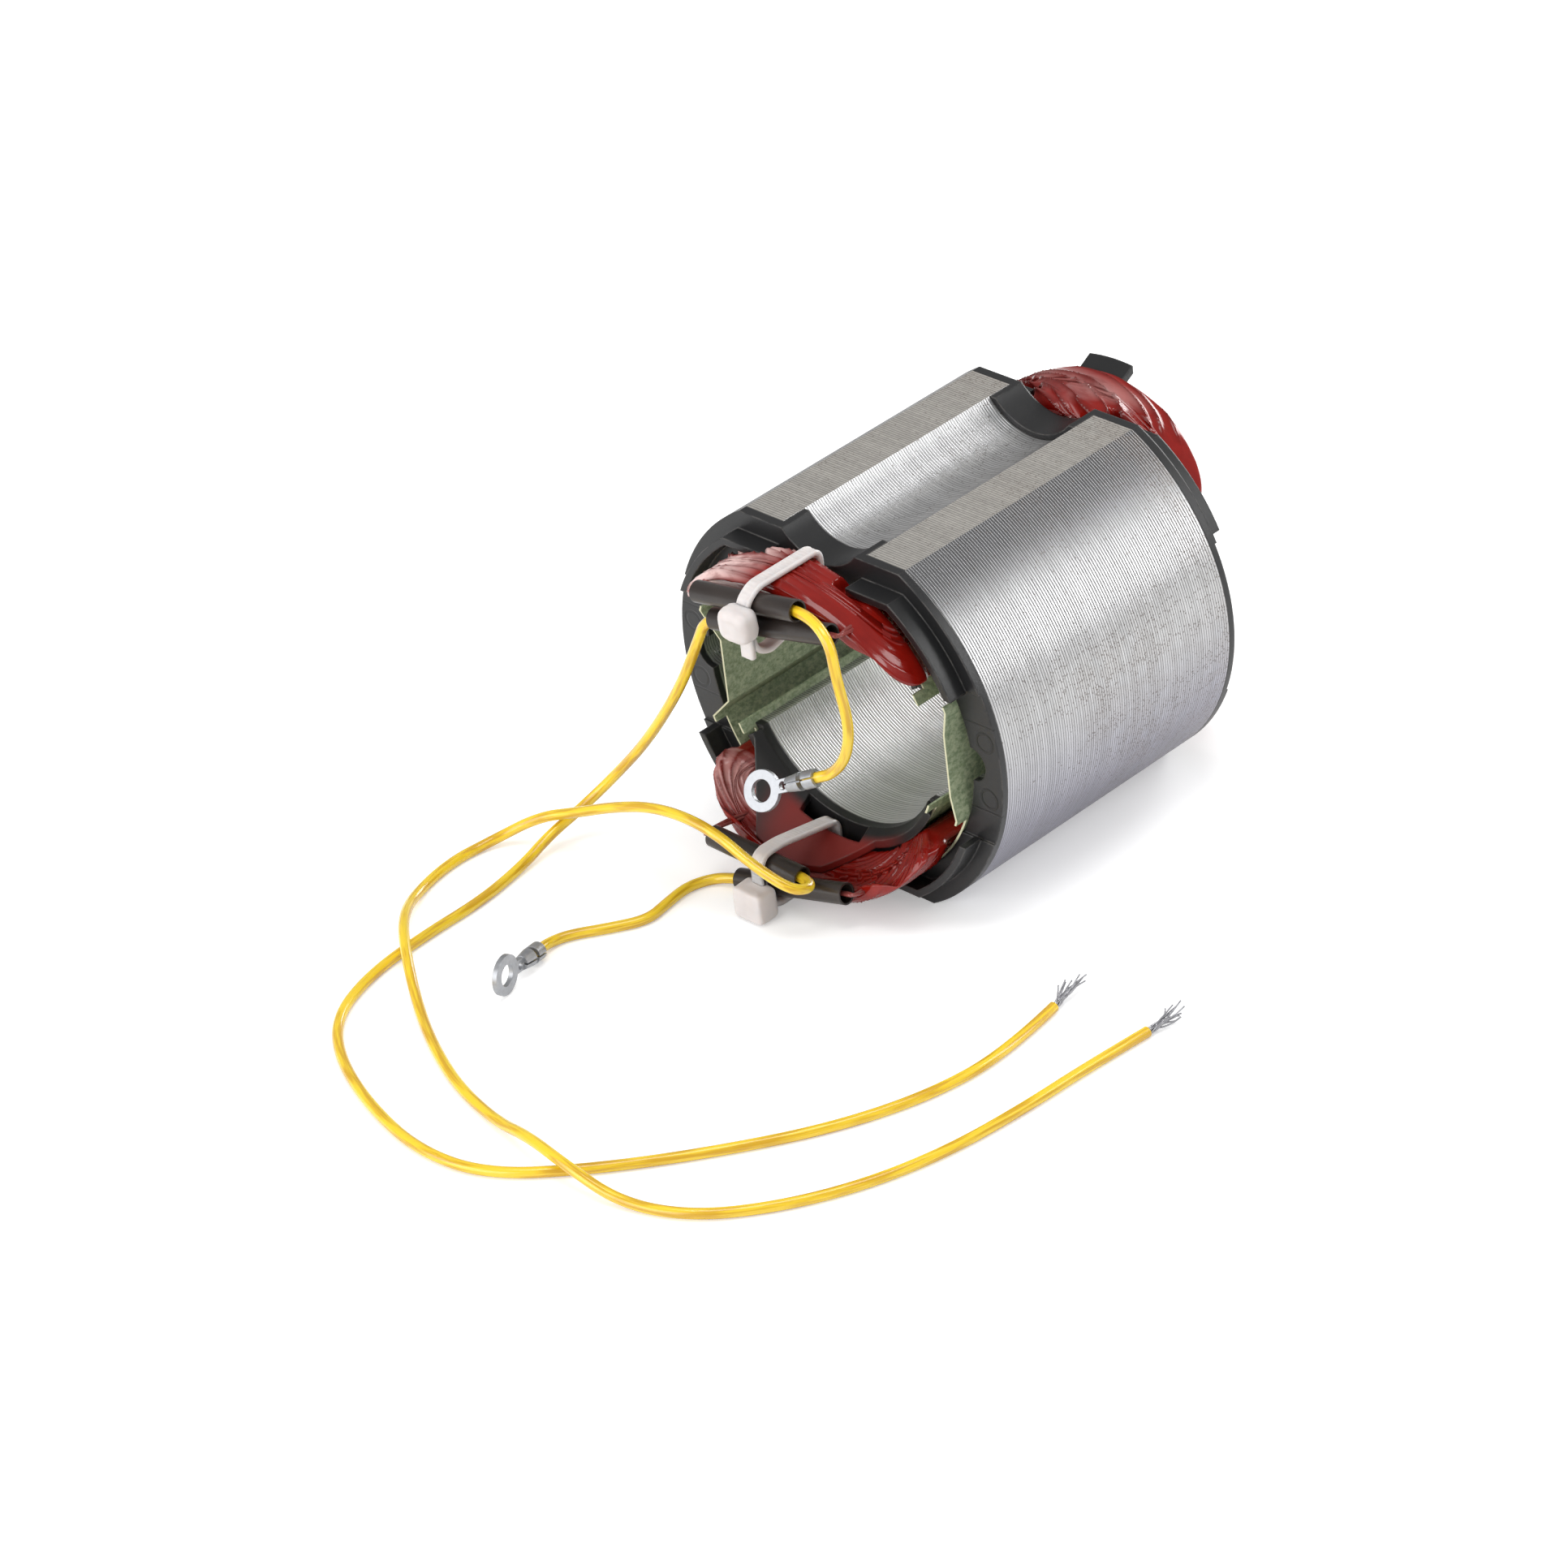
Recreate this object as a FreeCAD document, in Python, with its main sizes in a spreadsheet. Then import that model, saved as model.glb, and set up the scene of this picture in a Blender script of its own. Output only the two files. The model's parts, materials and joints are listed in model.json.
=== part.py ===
import FreeCAD, Part
import math
import os

import Sketcher
from FreeCAD import Placement, Rotation, Vector

# A wound stator of a two-pole universal motor. X runs across the flats, Y along the bore and Z up.
# The origin is on the bore's axis at the middle of the stack, and the near end faces -Y.

# Driving dimensions in millimetres and degrees
SIZES = {
    # Stack of punched sheets
    "stack_length": 50.0,
    "outer_diameter": 66.8,
    "across_flats": 58.1,
    "bore_diameter": 40.5,
    "yoke_thickness": 5.8,
    "pole_width": 22.0,
    "tip_thickness": 1.4,
    "tip_height": 9.8,
    "groove_width": 17.5,
    "groove_depth": 4.5,
    "passage_inset": 0.3,
    "passage_diameter": 5.8,
    # End plates
    "plate_thickness": 1.2,
    "rim_step": 0.4,
    "rim_height": 13.1,
    "lining_thickness": 0.9,
    "lining_reach": 4.5,
    "lining_fit": 0.05,
    "wall_inset_flat": 3.2,
    "wall_inset_round": 2.4,
    "wall_thickness": 1.2,
    "wall_rise": 3.5,
    "wall_gap": 17.2,
    "wall_end": 12.8,
    "saddle_wall": 1.3,
    "crest_cover": 0.75,
    "tab_cover": 0.16,
    "saddle_angle": 120.0,
    "horn_across": 18.0,
    "horn_reach": 3.0,
    "crest_outside": 12.0,
    "crest_inside": 6.0,
    "crest_reach": 10.4,
    "brow_reach": 8.8,
    "low_across": 7.0,
    "low_reach": 3.5,
    "tab_reach": 15.4,
    "tab_width": 9.0,
    "tab_offset": 1.5,
    "shoulder_across": 13.0,
    "shoulder_reach": 8.0,
    "window_width": 12.5,
    "window_offset": 2.2,
    "window_height": 2.4,
    # Coils
    "coil_gap": 0.15,
    "coil_cover": 1.25,
    "coil_reach": 12.8,
    "coil_lift": 1.4,
    "coil_spread": 28.0,
    "coil_side_height": 14.0,
    "lip_drop": 3.2,
    "turn_width": 1.25,
    "turn_groove": 0.3,
    "coil_edge": 0.8,
    "head_angle": 116.0,
    "wall_gap_clearance": 0.2,
    # Slot liners
    "liner_thickness": 0.35,
    "liner_fit": 0.05,
    "liner_reach": 3.9,
    "liner_lap": 1.0,
    "liner_flank": 10.4,
    "hump_height": 5.5,
    "hump_foot": 9.5,
    "left_hump": 22.0,
    "right_hump": 25.1,
    # Leads, sleeves, joints and terminals
    "lead_diameter": 1.7,
    "sleeve_diameter": 3.5,
    "sleeve_wall": 0.3,
    "splice_diameter": 2.3,
    "splice_length": 6.0,
    "lead_insertion": 2.5,
    "lead_exit": 1.8,
    "tail_diameter": 1.1,
    "ring_diameter": 6.4,
    "ring_hole": 3.5,
    "ring_thickness": 0.8,
    "ring_centre": 10.0,
    "grip_diameter": 2.9,
    "grip_length": 2.0,
    "grip_fit": 0.05,
    "barrel_gap": 0.8,
    "spine_width": 1.15,
    "spine_cover": 0.15,
    "neck_width": 2.1,
    "barrel_diameter": 2.3,
    "barrel_length": 2.4,
    "seam_width": 0.3,
    "peep_diameter": 1.3,
    "core_diameter": 1.0,
    "strand_diameter": 0.26,
    "strand_length": 7.0,
    # Ties
    "strap_width": 2.5,
    "strap_thickness": 1.0,
    "lock_width": 6.2,
    "lock_depth": 4.4,
    "lock_height": 5.6,
    "plate_gap": 0.15,
    "strap_round": 1.2,
}

# Ends of the sleeves' axes: the mouth where the lead comes out, then the end where the coil's tail goes in.
# Each is its place across, its distance in front of the coil, its depth under the flat and the flat's side.
SLEEVES = {
    "a": ((8.9, 2.5, 1.95, 1), (-12.8, 2.2, 6.15, 1)),
    "b": ((-10.0, 2.1, 9.95, 1), (14.1, 1.2, 4.85, 1)),
    "c": ((4.0, 3.6, 7.95, -1), (-15.2, 3.4, 8.05, -1)),
    "d": ((-10.5, 3.2, 1.85, -1), (10.7, 1.1, 6.25, -1)),
}

# Height of a lead's centre line where it lies on the surface under the stator
FLOOR = -28.2

# Routes of the leads beyond their sleeves, from the photograph
ROUTES = {
    "a": [
        (16.9, -42.1, 25.8), (17.8, -42.4, 19.8), (18.8, -41.8, 11.8), (16.8, -41.2, 5.2),
        (13.1, -40.9, 0.7), (10.4, -41.9, -0.5),
    ],
    "b": [
        (-14.6, -40.0, 13.0), (-20.0, -40.0, 3.0), (-29.0, -40.0, -9.5), (-37.4, -41.2, -19.0),
        (-40.8, -45.3, -23.5), (-42.7, -50.6, -26.2), (-42.2, -57.5, FLOOR), (-40.4, -68.0, FLOOR),
        (-40.6, -80.0, FLOOR), (-39.6, -92.0, FLOOR), (-35.5, -102.5, FLOOR), (-27.0, -109.5, FLOOR),
        (-14.0, -115.0, FLOOR), (0.0, -118.2, FLOOR), (12.5, -116.2, FLOOR), (24.0, -106.0, FLOOR),
        (35.0, -93.0, FLOOR), (45.0, -78.5, FLOOR), (51.0, -64.0, FLOOR), (52.8, -50.0, FLOOR),
        (50.6, -37.0, FLOOR),
    ],
    "c": [
        (7.6, -43.7, -20.6), (6.2, -46.3, -19.7), (-0.5, -47.4, -17.0), (-6.4, -47.4, -14.6),
        (-13.4, -47.5, -13.6), (-21.4, -47.6, -14.6), (-30.0, -47.8, -17.8), (-37.8, -48.4, -21.4),
        (-45.2, -50.3, -24.0), (-51.4, -55.0, FLOOR), (-52.4, -63.5, FLOOR), (-50.0, -73.5, FLOOR),
        (-43.5, -81.0, -25.4), (-37.0, -86.5, -25.4), (-28.0, -92.8, FLOOR), (-18.0, -98.8, FLOOR),
        (-7.0, -103.8, FLOOR), (4.0, -106.4, FLOOR), (13.5, -108.6, -25.4), (23.0, -110.2, -25.4),
        (33.0, -109.4, FLOOR), (43.5, -105.5, FLOOR), (52.0, -96.5, FLOOR), (58.5, -85.0, FLOOR),
        (62.5, -72.0, FLOOR), (64.2, -58.0, FLOOR), (64.8, -45.5, FLOOR), (66.0, -33.6, FLOOR),
    ],
    "d": [
        (-15.4, -42.7, FLOOR), (-16.9, -46.6, FLOOR), (-16.2, -51.6, FLOOR), (-15.4, -56.4, FLOOR),
        (-18.6, -61.4, FLOOR), (-22.4, -66.4, FLOOR), (-23.3, -69.8, -28.1), (-22.4, -72.7, -27.5),
    ],
}

# Direction in which each ring terminal's flat face looks
RING_FACES = {"a": Vector(0.14, -0.85, 0.5), "d": Vector(0.94, 0.35, 0.0)}

# Lean of the frayed strands about the end of each long lead, as steps across and up over their length
STRAND_LEANS = [(0.0, 0.1), (0.9, 0.3), (-0.8, 0.5), (0.4, 1.1), (-0.4, -0.2), (1.5, 0.8), (-1.5, 1.0)]

document = FreeCAD.newDocument("WoundStator")
sheet = document.addObject("Spreadsheet::Sheet", "Sizes")
for row, (alias, number) in enumerate(SIZES.items(), start=1):
    sheet.set(f"A{row}", alias)
    sheet.set(f"B{row}", str(number))
    sheet.setAlias(f"B{row}", alias)
document.recompute()


def value(expression):
    """The number that an expression of the sheet's sizes stands for."""
    return float(sheet.evalExpression(expression))


# Sizes that several pieces share, worked out from the sheet
OUTER_RADIUS = "Sizes.outer_diameter / 2"
BORE_RADIUS = "Sizes.bore_diameter / 2"
FLAT = "Sizes.across_flats / 2"
YOKE_RADIUS = "(Sizes.outer_diameter / 2 - Sizes.yoke_thickness)"
SHOE_RADIUS = "(Sizes.bore_diameter / 2 + Sizes.tip_thickness)"
POLE_SIDE = "Sizes.pole_width / 2"
STACK_END = "Sizes.stack_length / 2"
PLATE_FACE = "(Sizes.stack_length / 2 + Sizes.plate_thickness + Sizes.rim_step)"
GROOVE_RADIUS = "((Sizes.groove_width ^ 2 / 4 + Sizes.groove_depth ^ 2) / (2 * Sizes.groove_depth))"
GROOVE_CENTRE = f"(Sizes.across_flats / 2 - Sizes.groove_depth + {GROOVE_RADIUS})"
SADDLE_ROOT = "(Sizes.plate_thickness + Sizes.rim_step)"
WALL_INSIDE = "(Sizes.outer_diameter / 2 - Sizes.wall_inset_round - Sizes.wall_thickness)"
COIL_RADIUS = f"min({FLAT} - Sizes.coil_cover; {WALL_INSIDE} - Sizes.wall_gap_clearance)"
COIL_FRONT = "(Sizes.stack_length / 2 + Sizes.coil_reach)"


def saddle_slope(outline, reach):
    """How much a saddle flares for each millimetre, so that its outer side ends at that radius and reach."""
    return f"(({outline} - Sizes.saddle_wall - {BORE_RADIUS}) / ({reach} - {SADDLE_ROOT}))"


NEAR_SLOPE = saddle_slope(f"{COIL_RADIUS} - Sizes.crest_cover", "Sizes.crest_reach")
FAR_SLOPE = saddle_slope(f"{FLAT} - Sizes.tab_cover", "Sizes.tab_reach")


def saddle_inside(reach, slope):
    """Radius of a saddle's bore side at that distance in front of the stack."""
    return f"({BORE_RADIUS} + ({reach} - {SADDLE_ROOT}) * {slope})"


def beside_coil(across, ahead, depth, side):
    """A place in front of the near coils, by its distance ahead of them and its depth under a flat."""
    return Vector(across, -(value(COIL_FRONT) + ahead), side * (value(FLAT) - depth))


def add_body(name):
    body = document.addObject("PartDesign::Body", name)
    body.Label = name
    return body


def origin_feature(body, role):
    return next(feature for feature in body.Origin.OriginFeatures if feature.Role == role)


def add_sketch(body, name, role="XZ_Plane", offset=None):
    """A sketch on one of the body's origin planes, moved along its normal by an expression."""
    sketch = body.newObject("Sketcher::SketchObject", name)
    sketch.AttachmentSupport = [(origin_feature(body, role), "")]
    sketch.MapMode = "FlatFace"
    if offset:
        sketch.setExpression("AttachmentOffset.Base.z", offset)
    return sketch


def bind(sketch, constraint, expression):
    """Adds a constraint whose value is that expression of the sheet."""
    index = sketch.addConstraint(constraint)
    name = f"size_{index}"
    sketch.renameConstraint(index, name)
    sketch.setExpression(f"Constraints.{name}", expression)


def add_circle(sketch, radius, across=None, up=None):
    """A circle about the sketch's origin, or with its centre out along one axis."""
    centre = Vector(value(across) if across else 0, value(up) if up else 0, 0)
    circle = sketch.addGeometry(Part.Circle(centre, Vector(0, 0, 1), value(radius)), False)
    bind(sketch, Sketcher.Constraint("Radius", circle, value(radius)), radius)
    if across:
        bind(sketch, Sketcher.Constraint("DistanceX", -1, 1, circle, 3, centre.x), across)
        sketch.addConstraint(Sketcher.Constraint("PointOnObject", circle, 3, -1))
    elif up:
        bind(sketch, Sketcher.Constraint("DistanceY", -1, 1, circle, 3, centre.y), up)
        sketch.addConstraint(Sketcher.Constraint("PointOnObject", circle, 3, -2))
    else:
        sketch.addConstraint(Sketcher.Constraint("Coincident", circle, 3, -1, 1))


def signed(sign, expression):
    return expression if sign > 0 else f"-({expression})"


def corner_point(corner, radius, flip):
    """A corner's place. One of its two entries may be a side of the arc that it lies on."""
    across, up = corner
    if up in ("above", "below"):
        x = flip[0] * value(across)
        side = flip[1] * (1 if up == "above" else -1)
        return Vector(x, side * math.sqrt(value(radius) ** 2 - x ** 2), 0)
    if across in ("left", "right"):
        y = flip[1] * value(up)
        side = flip[0] * (1 if across == "right" else -1)
        return Vector(side * math.sqrt(value(radius) ** 2 - y ** 2), y, 0)
    return Vector(flip[0] * value(across), flip[1] * value(up), 0)


def add_arc(sketch, start, finish, radius):
    """An arc about the origin, the short way from start to finish. Returns its two ends in that order."""
    first = math.atan2(start.y, start.x)
    last = math.atan2(finish.y, finish.x)
    forward = (last - first) % (2 * math.pi) < math.pi
    if not forward:
        first, last = last, first
    circle = Part.Circle(Vector(0, 0, 0), Vector(0, 0, 1), value(radius))
    arc = sketch.addGeometry(Part.ArcOfCircle(circle, first, last), False)
    sketch.addConstraint(Sketcher.Constraint("Coincident", arc, 3, -1, 1))
    bind(sketch, Sketcher.Constraint("Radius", arc, value(radius)), radius)
    return ((arc, 1), (arc, 2)) if forward else ((arc, 2), (arc, 1))


def add_wire(sketch, corners, arcs=None, flip=(1, 1)):
    """A closed wire through the corners, each an (across, up) pair of expressions, fully constrained.

    arcs gives the radius of each edge that is an arc about the origin, by the number of its first corner.
    """
    arcs = arcs or {}
    count = len(corners)
    radii = [arcs.get(index) or arcs.get((index - 1) % count) for index in range(count)]
    points = [corner_point(corner, radius, flip) for corner, radius in zip(corners, radii)]
    edges = []
    for index in range(count):
        start = points[index]
        finish = points[(index + 1) % count]
        if index in arcs:
            edges.append(add_arc(sketch, start, finish, arcs[index]))
        else:
            line = sketch.addGeometry(Part.LineSegment(start, finish), False)
            edges.append(((line, 1), (line, 2)))
    for index in range(count):
        sketch.addConstraint(Sketcher.Constraint("Coincident", *edges[index - 1][1], *edges[index][0]))
        across, up = corners[index]
        here = edges[index][0]
        if across not in ("left", "right"):
            pin = Sketcher.Constraint("DistanceX", -1, 1, *here, points[index].x)
            bind(sketch, pin, signed(flip[0], across))
        if up not in ("above", "below"):
            pin = Sketcher.Constraint("DistanceY", -1, 1, *here, points[index].y)
            bind(sketch, pin, signed(flip[1], up))


def pad(body, name, sketch, length, side="One side", backwards=False):
    feature = body.newObject("PartDesign::Pad", name)
    feature.Profile = sketch
    feature.SideType = side
    feature.Reversed = backwards
    feature.setExpression("Length", length)
    document.recompute()
    return feature


def cut(body, name, sketch, side="Symmetric", backwards=False):
    """A pocket through everything, which has to take material away."""
    before = body.Shape.Volume
    feature = body.newObject("PartDesign::Pocket", name)
    feature.Profile = sketch
    feature.Type = "ThroughAll"
    feature.SideType = side
    feature.Reversed = backwards
    document.recompute()
    if not feature.Shape.Volume < before - 0.1:
        raise ValueError(f"{name} cuts nothing")
    return feature


def mirror(body, name, originals):
    """Repeats those features on the other side of the YZ plane."""
    feature = body.newObject("PartDesign::Mirrored", name)
    feature.Originals = originals
    feature.MirrorPlane = (origin_feature(body, "YZ_Plane"), [""])
    body.Tip = feature
    document.recompute()
    return feature


def cut_flats(body):
    """The two flats, one above and one below the bore."""
    sketch = add_sketch(body, "flats_sketch")
    beyond = "Sizes.outer_diameter"
    for side in (1, -1):
        corners = [(beyond, FLAT), (beyond, beyond), (f"-{beyond}", beyond), (f"-{beyond}", FLAT)]
        add_wire(sketch, corners, flip=(1, side))
    cut(body, "flats", sketch)


def cut_bore_and_slots(body):
    """The bore, the two winding slots that open into it and the screw passages at their backs."""
    bore_sketch = add_sketch(body, "bore_sketch")
    add_circle(bore_sketch, BORE_RADIUS)
    cut(body, "bore", bore_sketch)
    slot_sketch = add_sketch(body, "slot_sketch")
    inside = "Sizes.bore_diameter / 4"
    corners = [
        (POLE_SIDE, "below"), (POLE_SIDE, "above"), (POLE_SIDE, "above"), ("right", "Sizes.tip_height"),
        (inside, "Sizes.tip_height"), (inside, "-Sizes.tip_height"), ("right", "-Sizes.tip_height"),
        (POLE_SIDE, "below"),
    ]
    add_wire(slot_sketch, corners, arcs={0: YOKE_RADIUS, 2: SHOE_RADIUS, 6: SHOE_RADIUS})
    slot = cut(body, "slot", slot_sketch)
    passage_sketch = add_sketch(body, "passage_sketch")
    add_circle(passage_sketch, "Sizes.passage_diameter / 2", across=f"{YOKE_RADIUS} - Sizes.passage_inset")
    passage = cut(body, "passage", passage_sketch)
    mirror(body, "other_slot", [slot, passage])


def cut_grooves(body, radius):
    sketch = add_sketch(body, "groove_sketch")
    for side in ("", "-"):
        add_circle(sketch, radius, up=side + GROOVE_CENTRE)
    cut(body, "grooves", sketch)


def make_stack():
    """The sheets, pressed into one block: a disc with two flats, two grooves, and two poles inside."""
    body = add_body("lamination_stack")
    sketch = add_sketch(body, "sheet_sketch")
    add_circle(sketch, OUTER_RADIUS)
    pad(body, "sheets", sketch, "Sizes.stack_length", side="Symmetric")
    cut_flats(body)
    cut_grooves(body, GROOVE_RADIUS)
    cut_bore_and_slots(body)


def near_saddle_front():
    """The front edge of a near saddle in plan: a tall crest on one side that falls to a low brow."""
    return [
        ("Sizes.horn_across", "Sizes.horn_reach"),
        ("Sizes.crest_outside", "Sizes.crest_reach"),
        ("Sizes.crest_inside", "Sizes.crest_reach"),
        ("-0.1", "Sizes.brow_reach"),
        ("-Sizes.low_across", "Sizes.low_reach"),
    ]


def far_saddle_front():
    """The front edge of a far saddle in plan: two shoulders with a tall tab between them."""
    first = "(Sizes.tab_offset + Sizes.tab_width / 2)"
    last = "(Sizes.tab_offset - Sizes.tab_width / 2)"
    return [
        ("Sizes.horn_across", "Sizes.horn_reach"),
        ("Sizes.shoulder_across", "Sizes.shoulder_reach"),
        (first, "Sizes.shoulder_reach"),
        (first, "Sizes.tab_reach"),
        (last, "Sizes.tab_reach"),
        (last, "Sizes.shoulder_reach"),
        ("-Sizes.shoulder_across", "Sizes.shoulder_reach"),
        ("-Sizes.horn_across", "Sizes.horn_reach"),
    ]


def add_saddles(body, front, reach, slope):
    """Two flared saddles that hold the coils off the bore, each a turned wall cut to its front edge."""
    root = f"-{STACK_END}"
    face = f"-{PLATE_FACE}"
    tip = f"-({STACK_END} + {reach})"
    inner_tip = saddle_inside(reach, slope)
    section = add_sketch(body, "saddle_section", "YZ_Plane")
    corners = [
        (root, BORE_RADIUS), (face, BORE_RADIUS), (tip, inner_tip),
        (tip, f"{inner_tip} + Sizes.saddle_wall"),
        (face, f"{BORE_RADIUS} + Sizes.saddle_wall"), (root, f"{BORE_RADIUS} + Sizes.saddle_wall"),
    ]
    add_wire(section, corners)
    saddle = body.newObject("PartDesign::Revolution", "saddle")
    saddle.Profile = section
    saddle.ReferenceAxis = (section, ["H_Axis"])
    saddle.Midplane = True
    saddle.setExpression("Angle", "Sizes.saddle_angle")
    document.recompute()
    plan = add_sketch(body, "saddle_plan", "XY_Plane")
    beyond = f"({STACK_END} + 2 * Sizes.tab_reach)"
    low = f"({PLATE_FACE} + Sizes.rim_step)"
    outline = [(across, f"-({STACK_END} + {along})") for across, along in front]
    ends = [
        ("-Sizes.outer_diameter", f"-{low}"), ("-Sizes.outer_diameter", f"-{beyond}"),
        ("Sizes.outer_diameter", f"-{beyond}"), ("Sizes.outer_diameter", f"-{low}"),
    ]
    add_wire(plan, outline + ends)
    first = "(Sizes.window_offset - Sizes.window_width / 2)"
    last = "(Sizes.window_offset + Sizes.window_width / 2)"
    top = f"-({PLATE_FACE} + Sizes.window_height)"
    add_wire(plan, [(first, face), (last, face), (last, top), (first, top)])
    trim = cut(body, "saddle_trim", plan, side="One side", backwards=True)
    pair = body.newObject("PartDesign::PolarPattern", "both_saddles")
    pair.Originals = [saddle, trim]
    pair.Axis = (origin_feature(body, "Y_Axis"), [""])
    pair.Angle = 360
    pair.Occurrences = 2
    body.Tip = pair
    document.recompute()


def add_outer_walls(body):
    """Four walls that keep the coils inside the outline, each a flat run and a round run."""
    sketch = add_sketch(body, "wall_sketch", offset=PLATE_FACE)
    outside = f"({OUTER_RADIUS} - Sizes.wall_inset_round)"
    level = f"({FLAT} - Sizes.wall_inset_flat)"
    under = f"({FLAT} - Sizes.wall_inset_flat - Sizes.wall_thickness)"
    gap = "Sizes.wall_gap / 2"
    corners = [
        (gap, level), ("right", level), ("right", "Sizes.wall_end"),
        ("right", "Sizes.wall_end"), ("right", under), (gap, under),
    ]
    for across in (1, -1):
        for up in (1, -1):
            add_wire(sketch, corners, arcs={1: outside, 3: WALL_INSIDE}, flip=(across, up))
    pad(body, "outer_walls", sketch, "Sizes.wall_rise")


def make_end_plate(name, front, reach, slope):
    """A moulded end plate on the near end. The plate on the far end is one turned about Z."""
    body = add_body(name)
    disc_sketch = add_sketch(body, "disc_sketch", offset=STACK_END)
    add_circle(disc_sketch, OUTER_RADIUS)
    pad(body, "disc", disc_sketch, "Sizes.plate_thickness")
    rim_sketch = add_sketch(body, "rim_sketch", offset=f"{STACK_END} + Sizes.plate_thickness")
    for side in (1, -1):
        corners = [("right", "Sizes.rim_height"), ("left", "Sizes.rim_height")]
        add_wire(rim_sketch, corners, arcs={0: OUTER_RADIUS}, flip=(1, side))
    pad(body, "raised_sectors", rim_sketch, "Sizes.rim_step")
    lining_sketch = add_sketch(body, "lining_sketch", offset=PLATE_FACE)
    for side in ("", "-"):
        add_circle(lining_sketch, f"{GROOVE_RADIUS} - Sizes.lining_fit", up=side + GROOVE_CENTRE)
    reach_back = f"{SADDLE_ROOT} + Sizes.lining_reach"
    pad(body, "groove_linings", lining_sketch, reach_back, backwards=True)
    cut_flats(body)
    cut_grooves(body, f"{GROOVE_RADIUS} - Sizes.lining_fit - Sizes.lining_thickness")
    cut_bore_and_slots(body)
    add_saddles(body, front, reach, slope)
    add_outer_walls(body)
    return body


def part_object(kind, name, **links):
    feature = document.addObject(kind, name)
    for key, item in links.items():
        setattr(feature, key, item)
    return feature


def free_sketch(name, turned=False):
    """A sketch of no body, on the XZ plane or on the YZ plane."""
    sketch = document.addObject("Sketcher::SketchObject", name)
    rotation = Rotation(Vector(0, 1, 0), Vector(0, 0, 1), Vector(1, 0, 0)) if turned else None
    sketch.Placement = Placement(Vector(0, 0, 0), rotation or Rotation(Vector(1, 0, 0), 90))
    return sketch


def turn_grooves(first, count, radius):
    """Corners of the small grooves between the turns of a coil's outer layer, from its front to its back."""
    corners = []
    for turn in range(count):
        place = f"({first} - {turn} * Sizes.turn_width)"
        corners += [
            (f"-({STACK_END} + {place})", radius),
            (f"-({STACK_END} + {place} - Sizes.turn_groove / 2)", f"{radius} - Sizes.turn_groove"),
            (f"-({STACK_END} + {place} - Sizes.turn_groove)", radius),
        ]
    return corners


def coil_head(name, slope, lip):
    """The end turns over one pole: a turned bundle on the saddle's slope that rounds off to its sides."""
    bed = "Sizes.saddle_wall + Sizes.coil_gap"
    back = f"-({PLATE_FACE} + Sizes.coil_lift)"
    foot = f"{saddle_inside(f'{SADDLE_ROOT} + Sizes.coil_lift', slope)} + {bed}"
    if lip:
        hold = "(Sizes.crest_reach + Sizes.coil_gap)"
        front = f"-({STACK_END} + Sizes.coil_reach)"
        start = f"{COIL_RADIUS} - Sizes.lip_drop"
        nose = [(f"-({STACK_END} + {hold})", start), (front, f"{start} + Sizes.coil_edge")]
        nose += [(front, f"{COIL_RADIUS} - Sizes.coil_edge")]
    else:
        room = f"{COIL_RADIUS} - Sizes.coil_edge - {BORE_RADIUS} - {bed}"
        hold = f"({SADDLE_ROOT} + ({room}) / {slope})"
        nose = []
    section = free_sketch(f"{name}_section", turned=True)
    crown = f"({hold} - Sizes.coil_edge)"
    crown_end = f"({SADDLE_ROOT} + Sizes.coil_lift + Sizes.coil_edge)"
    turns = max(1, int(value(f"({crown} - {crown_end}) / Sizes.turn_width")))
    corners = [(back, foot), (f"-({STACK_END} + {hold})", f"{saddle_inside(hold, slope)} + {bed}")]
    corners += nose
    corners += [(f"-({STACK_END} + {crown})", COIL_RADIUS)]
    corners += turn_grooves(f"({crown} - Sizes.turn_width / 2)", turns, COIL_RADIUS)
    corners += [(f"{back} - Sizes.coil_edge", COIL_RADIUS), (back, f"{COIL_RADIUS} - Sizes.coil_edge")]
    add_wire(section, corners)
    turned = part_object("Part::Revolution", f"{name}_turned", Source=section, Axis=Vector(0, 1, 0))
    turned.Solid = True
    turned.Symmetric = True
    turned.setExpression("Angle", "Sizes.head_angle")
    edge = part_object("Part::Ellipse", f"{name}_front")
    edge.setExpression("MajorRadius", "Sizes.coil_spread")
    edge.setExpression("MinorRadius", "Sizes.coil_reach")
    edge.setExpression("Placement.Base.y", f"-{STACK_END}")
    block = part_object("Part::Extrusion", f"{name}_front_block", Base=edge, Dir=Vector(0, 0, 1))
    block.Solid = True
    block.DirMode = "Custom"
    block.setExpression("LengthFwd", FLAT)
    return part_object("Part::Common", name, Base=turned, Tool=block)


def sleeve_ends(name):
    """The middle of a sleeve's mouth, where its lead comes out, and of its end, where the coil's tail goes in."""
    return [beside_coil(*place) for place in SLEEVES[name]]


def tail_route(name):
    """Straight run of a coil's tail, from inside the bundle to the joint in its sleeve."""
    mouth, end = sleeve_ends(name)
    along = (end - mouth).normalize()
    joint = mouth + along * (value("Sizes.lead_insertion") + value("Sizes.splice_length"))
    return joint, end + along * 1.0


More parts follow.
